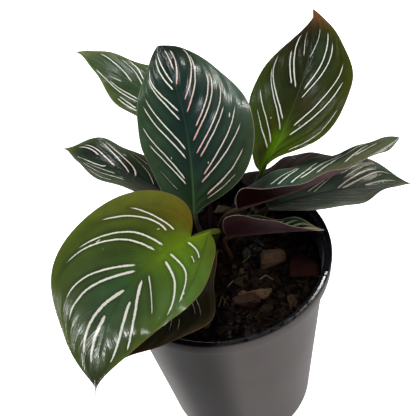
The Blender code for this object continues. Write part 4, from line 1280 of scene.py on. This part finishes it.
def painted_line(tree, stripe, place):
    """How far each point is from its stripe's middle in mm, and how strongly the stripe shows there."""
    # The stripes wander by up to 0.3 mm over some 12 mm, and their edges break up in flecks of 1.4 mm.
    wander = add_node(tree, "TexNoise", {"Vector": place, "Scale": 85.0, "Detail": 1.0})
    flecks = add_node(tree, "TexNoise", {"Vector": place, "Scale": 700.0, "Detail": 1.0})
    drift = add_node(tree, "Math", {0: wander, 1: 0.8, 2: -0.4}, operation="MULTIPLY_ADD")
    moved = add_node(tree, "Math", {0: (stripe, "X"), 1: drift}, operation="ADD")
    off = add_node(tree, "Math", {0: moved}, operation="ABSOLUTE")
    # A stripe starts bluntly near the midrib, grows slimmer on its way out, and runs out in a point.
    blunt = add_node(tree, "MapRange", {0: (stripe, "Y"), 1: -0.02, 2: 0.05}, **SOFT)
    slim = add_node(tree, "MapRange", {0: (stripe, "Y"), 1: 0.1, 2: 1.0, 3: 1.0, 4: 0.6})
    tail = add_node(tree, "MapRange", {0: (stripe, "Y"), 1: 0.9, 2: 1.03, 3: 1.0, 4: 0.0}, **SOFT)
    fleck = add_node(tree, "MapRange", {0: flecks, 1: 0.3, 2: 0.7, 3: 0.8, 4: 1.15})
    wide = (stripe, "Z")
    for share in (blunt, slim, tail, fleck):
        wide = add_node(tree, "Math", {0: wide, 1: share}, operation="MULTIPLY")
    outer = add_node(tree, "Math", {0: wide, 1: 0.5, 2: 0.1}, operation="MULTIPLY_ADD")
    core = add_node(tree, "Math", {0: wide, 1: 0.5, 2: -0.2}, operation="MULTIPLY_ADD")
    line = add_node(tree, "MapRange", {0: off, 1: core, 2: outer, 3: 1.0, 4: 0.0}, **SOFT)
    shown = add_node(tree, "MapRange", {0: wide, 1: 0.05, 2: 0.4})
    return off, add_node(tree, "Math", {0: line, 1: shown}, operation="MULTIPLY")


def living_leaf_upper():
    """Upper skin of a living leaf: satin, finely nerved, with thin cream stripes that look painted on."""
    material, tree, shader = new_material("living_leaf_upper", {"IOR": 1.42, "Specular IOR Level": 0.5})
    object_place = (add_node(tree, "TexCoord"), "Object")
    ground = add_node(tree, "Attribute", attribute_name="ground")
    place = read_mark(tree, "place")
    vein = read_mark(tree, "vein")
    stripe = read_mark(tree, "stripe")
    off, line = painted_line(tree, stripe, object_place)
    # Side veins 1.9 mm apart, lighter cells between them, and a soft cloud over some 11 mm.
    cloud = add_node(tree, "TexNoise", {"Vector": object_place, "Scale": 90.0, "Detail": 4.0})
    nerve, bright = nerve_shade(tree, vein, cloud, 0.05, 0.8, 1.2)
    # The ground is darker for 3 mm to each side of a stripe.
    shaded = add_node(tree, "MapRange", {0: off, 1: 0.5, 2: 3.5, 3: 0.3, 4: 0.0}, **SOFT)
    before = add_node(tree, "MapRange", {0: (stripe, "Y"), 1: -0.25, 2: 0.15}, **SOFT)
    beyond = add_node(tree, "MapRange", {0: (stripe, "Y"), 1: 0.85, 2: 1.25, 3: 1.0, 4: 0.0}, **SOFT)
    for share in (before, beyond):
        shaded = add_node(tree, "Math", {0: shaded, 1: share}, operation="MULTIPLY")
    unshaded = add_node(tree, "Math", {0: 1.0, 1: shaded}, operation="SUBTRACT")
    bright = add_node(tree, "Math", {0: bright, 1: unshaded}, operation="MULTIPLY")
    skin = add_node(tree, "VectorMath", {0: ground, "Scale": bright}, operation="SCALE")
    # The midrib is a lighter line that thins out and fades towards the tip.
    midrib = add_node(tree, "Attribute", attribute_name="midrib")
    rib_half = add_node(tree, "MapRange", {0: (place, "X"), 3: 0.8, 4: 0.2})
    rib_edge = add_node(tree, "Math", {0: rib_half, 1: (vein, "X")}, operation="SUBTRACT")
    rib_line = add_node(tree, "MapRange", {0: rib_edge, 1: -0.3, 2: 0.2}, **SOFT)
    rib_fade = add_node(tree, "MapRange", {0: (place, "X"), 1: 0.1, 2: 0.9, 3: 0.8, 4: 0.1})
    rib = add_node(tree, "Math", {0: rib_line, 1: rib_fade}, operation="MULTIPLY")
    ribbed = add_node(tree, "Mix", {0: rib, 6: skin, 7: midrib}, data_type="RGBA")
    skin = edged(tree, (ribbed, 2), place, 0.65, 0.7)
    # The stripes are pinkest where they start.
    start = add_node(tree, "MapRange", {0: (stripe, "Y"), 1: 0.0, 2: 0.45, 3: 1.0, 4: 0.35}, **SOFT)
    blush = add_node(tree, "Math", {0: start, 1: (vein, "Z")}, operation="MULTIPLY")
    paint = add_node(tree, "Mix", {0: blush, 6: linear("#f4f8e6"), 7: linear("#f0bcb8")}, data_type="RGBA")
    striped = add_node(tree, "Mix", {0: line, 6: skin, 7: (paint, 2)}, data_type="RGBA")
    # Dried drops of hard water leave white specks of 1 mm or less, a few centimetres apart.
    vein_place = add_node(tree, "Attribute", attribute_name="vein")
    drops = add_node(tree, "TexVoronoi", {
        "Vector": (vein_place, "Vector"), "Scale": 0.07,
    }, voronoi_dimensions="2D")
    chosen = add_node(tree, "SeparateXYZ", {0: (drops, "Color")})
    reach = add_node(tree, "MapRange", {0: (chosen, "X"), 1: 0.5, 2: 1.0, 3: 0.0, 4: 0.03})
    speck = add_node(tree, "Math", {0: (drops, "Distance"), 1: reach}, operation="LESS_THAN")
    specked = add_node(tree, "Mix", {0: speck, 6: (striped, 2), 7: linear("#d8dcc8")}, data_type="RGBA")
    # The skin's cells, drawn 0.7 mm wide, which is coarse enough to catch the light.
    cells = add_node(tree, "TexNoise", {"Vector": object_place, "Scale": 1500.0, "Detail": 2.0})
    relief = add_node(tree, "Math", {0: nerve, 1: 0.3, 2: cells}, operation="MULTIPLY_ADD")
    finish_surface(tree, shader, (specked, 2), cloud, (0.14, 0.26), relief, 0.35, 0.12)
    return material


def living_leaf_under():
    """Underside of a living leaf: matt mauve to maroon, with a pale midrib and close side veins."""
    material, tree, shader = new_material("living_leaf_underside", {"IOR": 1.4, "Specular IOR Level": 0.08})
    object_place = (add_node(tree, "TexCoord"), "Object")
    ground = add_node(tree, "Attribute", attribute_name="ground")
    place = read_mark(tree, "place")
    vein = read_mark(tree, "vein")
    cloud = add_node(tree, "TexNoise", {"Vector": object_place, "Scale": 80.0, "Detail": 4.0})
    _, bright = nerve_shade(tree, vein, cloud, 0.09, 0.7, 1.25)
    skin = add_node(tree, "VectorMath", {0: ground, "Scale": bright}, operation="SCALE")
    rib = add_node(tree, "MapRange", {0: (vein, "X"), 1: 0.4, 2: 1.3, 3: 0.3, 4: 0.0}, **SOFT)
    ribbed = add_node(tree, "Mix", {0: rib, 6: skin, 7: linear("#7a6054")}, data_type="RGBA")
    finish_surface(tree, shader, edged(tree, (ribbed, 2), place, 0.6, 0.35), cloud, (0.5, 0.65))
    return material


def living_leafstalk():
    """Leafstalk: fleshy and satin, streaked along its length, maroon at its sheath and green at its knee."""
    material, tree, shader = new_material("living_leafstalk", {"IOR": 1.42, "Specular IOR Level": 0.5})
    object_place = (add_node(tree, "TexCoord"), "Object")
    ground = add_node(tree, "Attribute", attribute_name="ground")
    # The streaks are about 1 mm wide and 8 mm long.
    upright = add_node(tree, "Mapping", {"Vector": object_place, "Scale": (900.0, 900.0, 120.0)})
    streaks = add_node(tree, "TexNoise", {"Vector": upright, "Scale": 1.0, "Detail": 3.0})
    bright = add_node(tree, "MapRange", {0: streaks, 1: 0.3, 2: 0.7, 3: 0.7, 4: 1.3})
    skin = add_node(tree, "VectorMath", {0: ground, "Scale": bright}, operation="SCALE")
    finish_surface(tree, shader, skin, streaks, (0.36, 0.5))
    return material


leaf_finishes = (living_leaf_upper(), living_leaf_under(), living_leafstalk())
for name, own in LEAVES.items():
    mesh = leaf_mesh("living_" + name, {**USUAL_LEAF, **own}, STALK_FEET[name], leaf_finishes)
    leaf_piece = put("living_" + name, mesh)
    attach(leaf_piece, "root")
    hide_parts(name)


# Studio
# A plain white floor and backdrop, soft fill lights, and a camera that looks down at the plant. The small
# windows each shine only in the gloss of the pieces that they name, to put each sheen in its place.

LENS = 56.25  # mm on a 36 mm sensor
CAMERA_DISTANCE = 378.86  # mm from the point looked at
CAMERA_TARGET = (-1.6, 0.0, 193.86)  # mm
CAMERA_DOWN = 44.6  # degrees
CAMERA_ROLL = -10.41  # degrees
LIGHT_TARGET = (0.0, 0.0, 170.0)  # mm
FLOOR_HALF = 6000.0  # mm
BACKDROP = 1.3  # how brightly the floor and the world show
GLOW = 0.2  # how strongly the world lights

# Each light: where it stands by its turn from +Y to +X and its height in degrees, its distance in m, its
# size in m, its power in watts and its colour; the windows have the pieces in whose gloss they shine.
FILL_LIGHTS = {
    "overhead_fill": (-40, 68, 1.0, (0.3, 0.3), 5.4, "#fbfdff"),
    "left_fill": (-95, 20, 1.2, (0.4, 0.4), 2.4, "#fffaf2"),
    "right_fill": (116, 24, 1.2, (0.4, 0.4), 3.6, "#fff8f0"),
    "back_fill": (-20, 45, 1.0, (0.3, 0.2), 2.4, "#fbfdff"),
}
WINDOWS = {
    "ceiling_light": (-82, 56, 0.9, (0.06, 0.06), 0.9, "#f4f9ff", "living_leaf_centre"),
    "roof_window": (46, 73, 0.9, (0.05, 0.05), 1.8, "#fffdf6", "living_leaf_centre"),
    "back_left_window": (-42, 44, 1.0, (0.05, 0.05), 0.28, "#f4f9ff", "living_leaf_upper_right"),
    "back_window": (-14, 47, 1.0, (0.12, 0.05), 1.3, "#f8fbff", "living_leaf_mid_left"),
    "far_window": (2, 46, 1.0, (0.1, 0.1), 0.7, "#f8fbff", "living_leaf_upper_left"),
    "right_window": (48, 40, 1.0, (0.05, 0.2), 1.6, "#fff4dc", "living_leaf_right_lower"),
    "lip_window": (22, 49, 1.0, (0.09, 0.08), 3.0, "#ffffff", "nursery_pot"),
    "mix_window": (0, 48, 1.0, (0.08, 0.08), 2.0, "#fffaf2", "bark_chips", "bark_bits", "peat_crumbs"),
    "front_left_window": (-137, 26, 1.0, (0.05, 0.05), 1.6, "#ffffff", "living_leaf_front_left"),
    "front_window": (-168, 18, 1.0, (0.05, 0.08), 2.6, "#ffffff", "living_leaf_front_left"),
}


def add_camera():
    """A camera that looks down at the plant, with its picture turned a little."""
    down = math.radians(CAMERA_DOWN)
    roll = math.radians(CAMERA_ROLL)
    level = Vector((1, 0, 0))
    upright = Vector((0, math.sin(down), math.cos(down)))
    back = Vector((0, -math.cos(down), math.sin(down)))
    right = level * math.cos(roll) + upright * math.sin(roll)
    up = upright * math.cos(roll) - level * math.sin(roll)
    camera = put("camera", bpy.data.cameras.new("camera"))
    camera.data.lens = LENS
    camera.data.sensor_width = 36.0
    camera.data.clip_start = 0.01
    turn = Matrix((right, up, back)).transposed().to_4x4()
    camera.matrix_world = Matrix.Translation((Vector(CAMERA_TARGET) + back * CAMERA_DISTANCE) * MM) @ turn
    bpy.context.scene.camera = camera


def add_light(name, heading, height, distance, size, power, colour, *pieces):
    """An area light that looks at the plant: a fill light kept off the gloss, or a window only in it."""
    light = bpy.data.lights.new(name, "AREA")
    light.shape = "RECTANGLE"
    light.size, light.size_y = size
    light.energy = power
    light.color = linear(colour)[:3]
    item = put(name, light)
    turn = math.radians(heading)
    rise = math.radians(height)
    away = Vector((math.cos(rise) * math.sin(turn), math.cos(rise) * math.cos(turn), math.sin(rise)))
    item.location = Vector(LIGHT_TARGET) * MM + away * distance
    item.rotation_euler = away.to_track_quat("Z", "Y").to_euler()
    item.visible_diffuse = not pieces
    item.visible_glossy = bool(pieces)
    if pieces:
        lit = bpy.data.collections.new(name + "_lights")
        for piece in pieces:
            lit.objects.link(bpy.data.objects[piece])
        item.light_linking.receiver_collection = lit


def add_floor():
    """A wide matt board that shows as white from every side, kept out of the gloss."""
    board, _, _ = new_material("matt_white_board", {
        "Base Color": linear("#f6f6f4"), "Roughness": 0.9, "Emission Color": linear("#ffffff"),
        "Emission Strength": BACKDROP,
    })
    corners = [(x * FLOOR_HALF, y * FLOOR_HALF, 0) for x, y in ((-1, -1), (1, -1), (1, 1), (-1, 1))]
    floor = put("floor", new_mesh("floor", corners, (), [(0, 1, 2, 3)]))
    floor.data.materials.append(board)
    floor.visible_glossy = False


def add_world():
    """A dim glow from all round, which a camera sees as a backdrop as bright as the floor."""
    world = bpy.data.worlds.new("studio")
    bpy.context.scene.world = world
    world.use_nodes = True
    tree = world.node_tree
    path = add_node(tree, "LightPath")
    strength = add_node(tree, "MapRange", {0: (path, "Is Camera Ray"), 3: GLOW, 4: BACKDROP})
    set_inputs(tree, tree.nodes["Background"], {"Color": linear("#e8ecf2"), "Strength": strength})


add_camera()
add_floor()
add_world()
for name, settings in {**FILL_LIGHTS, **WINDOWS}.items():
    add_light(name, *settings)
bpy.context.scene.view_settings.view_transform = "Standard"
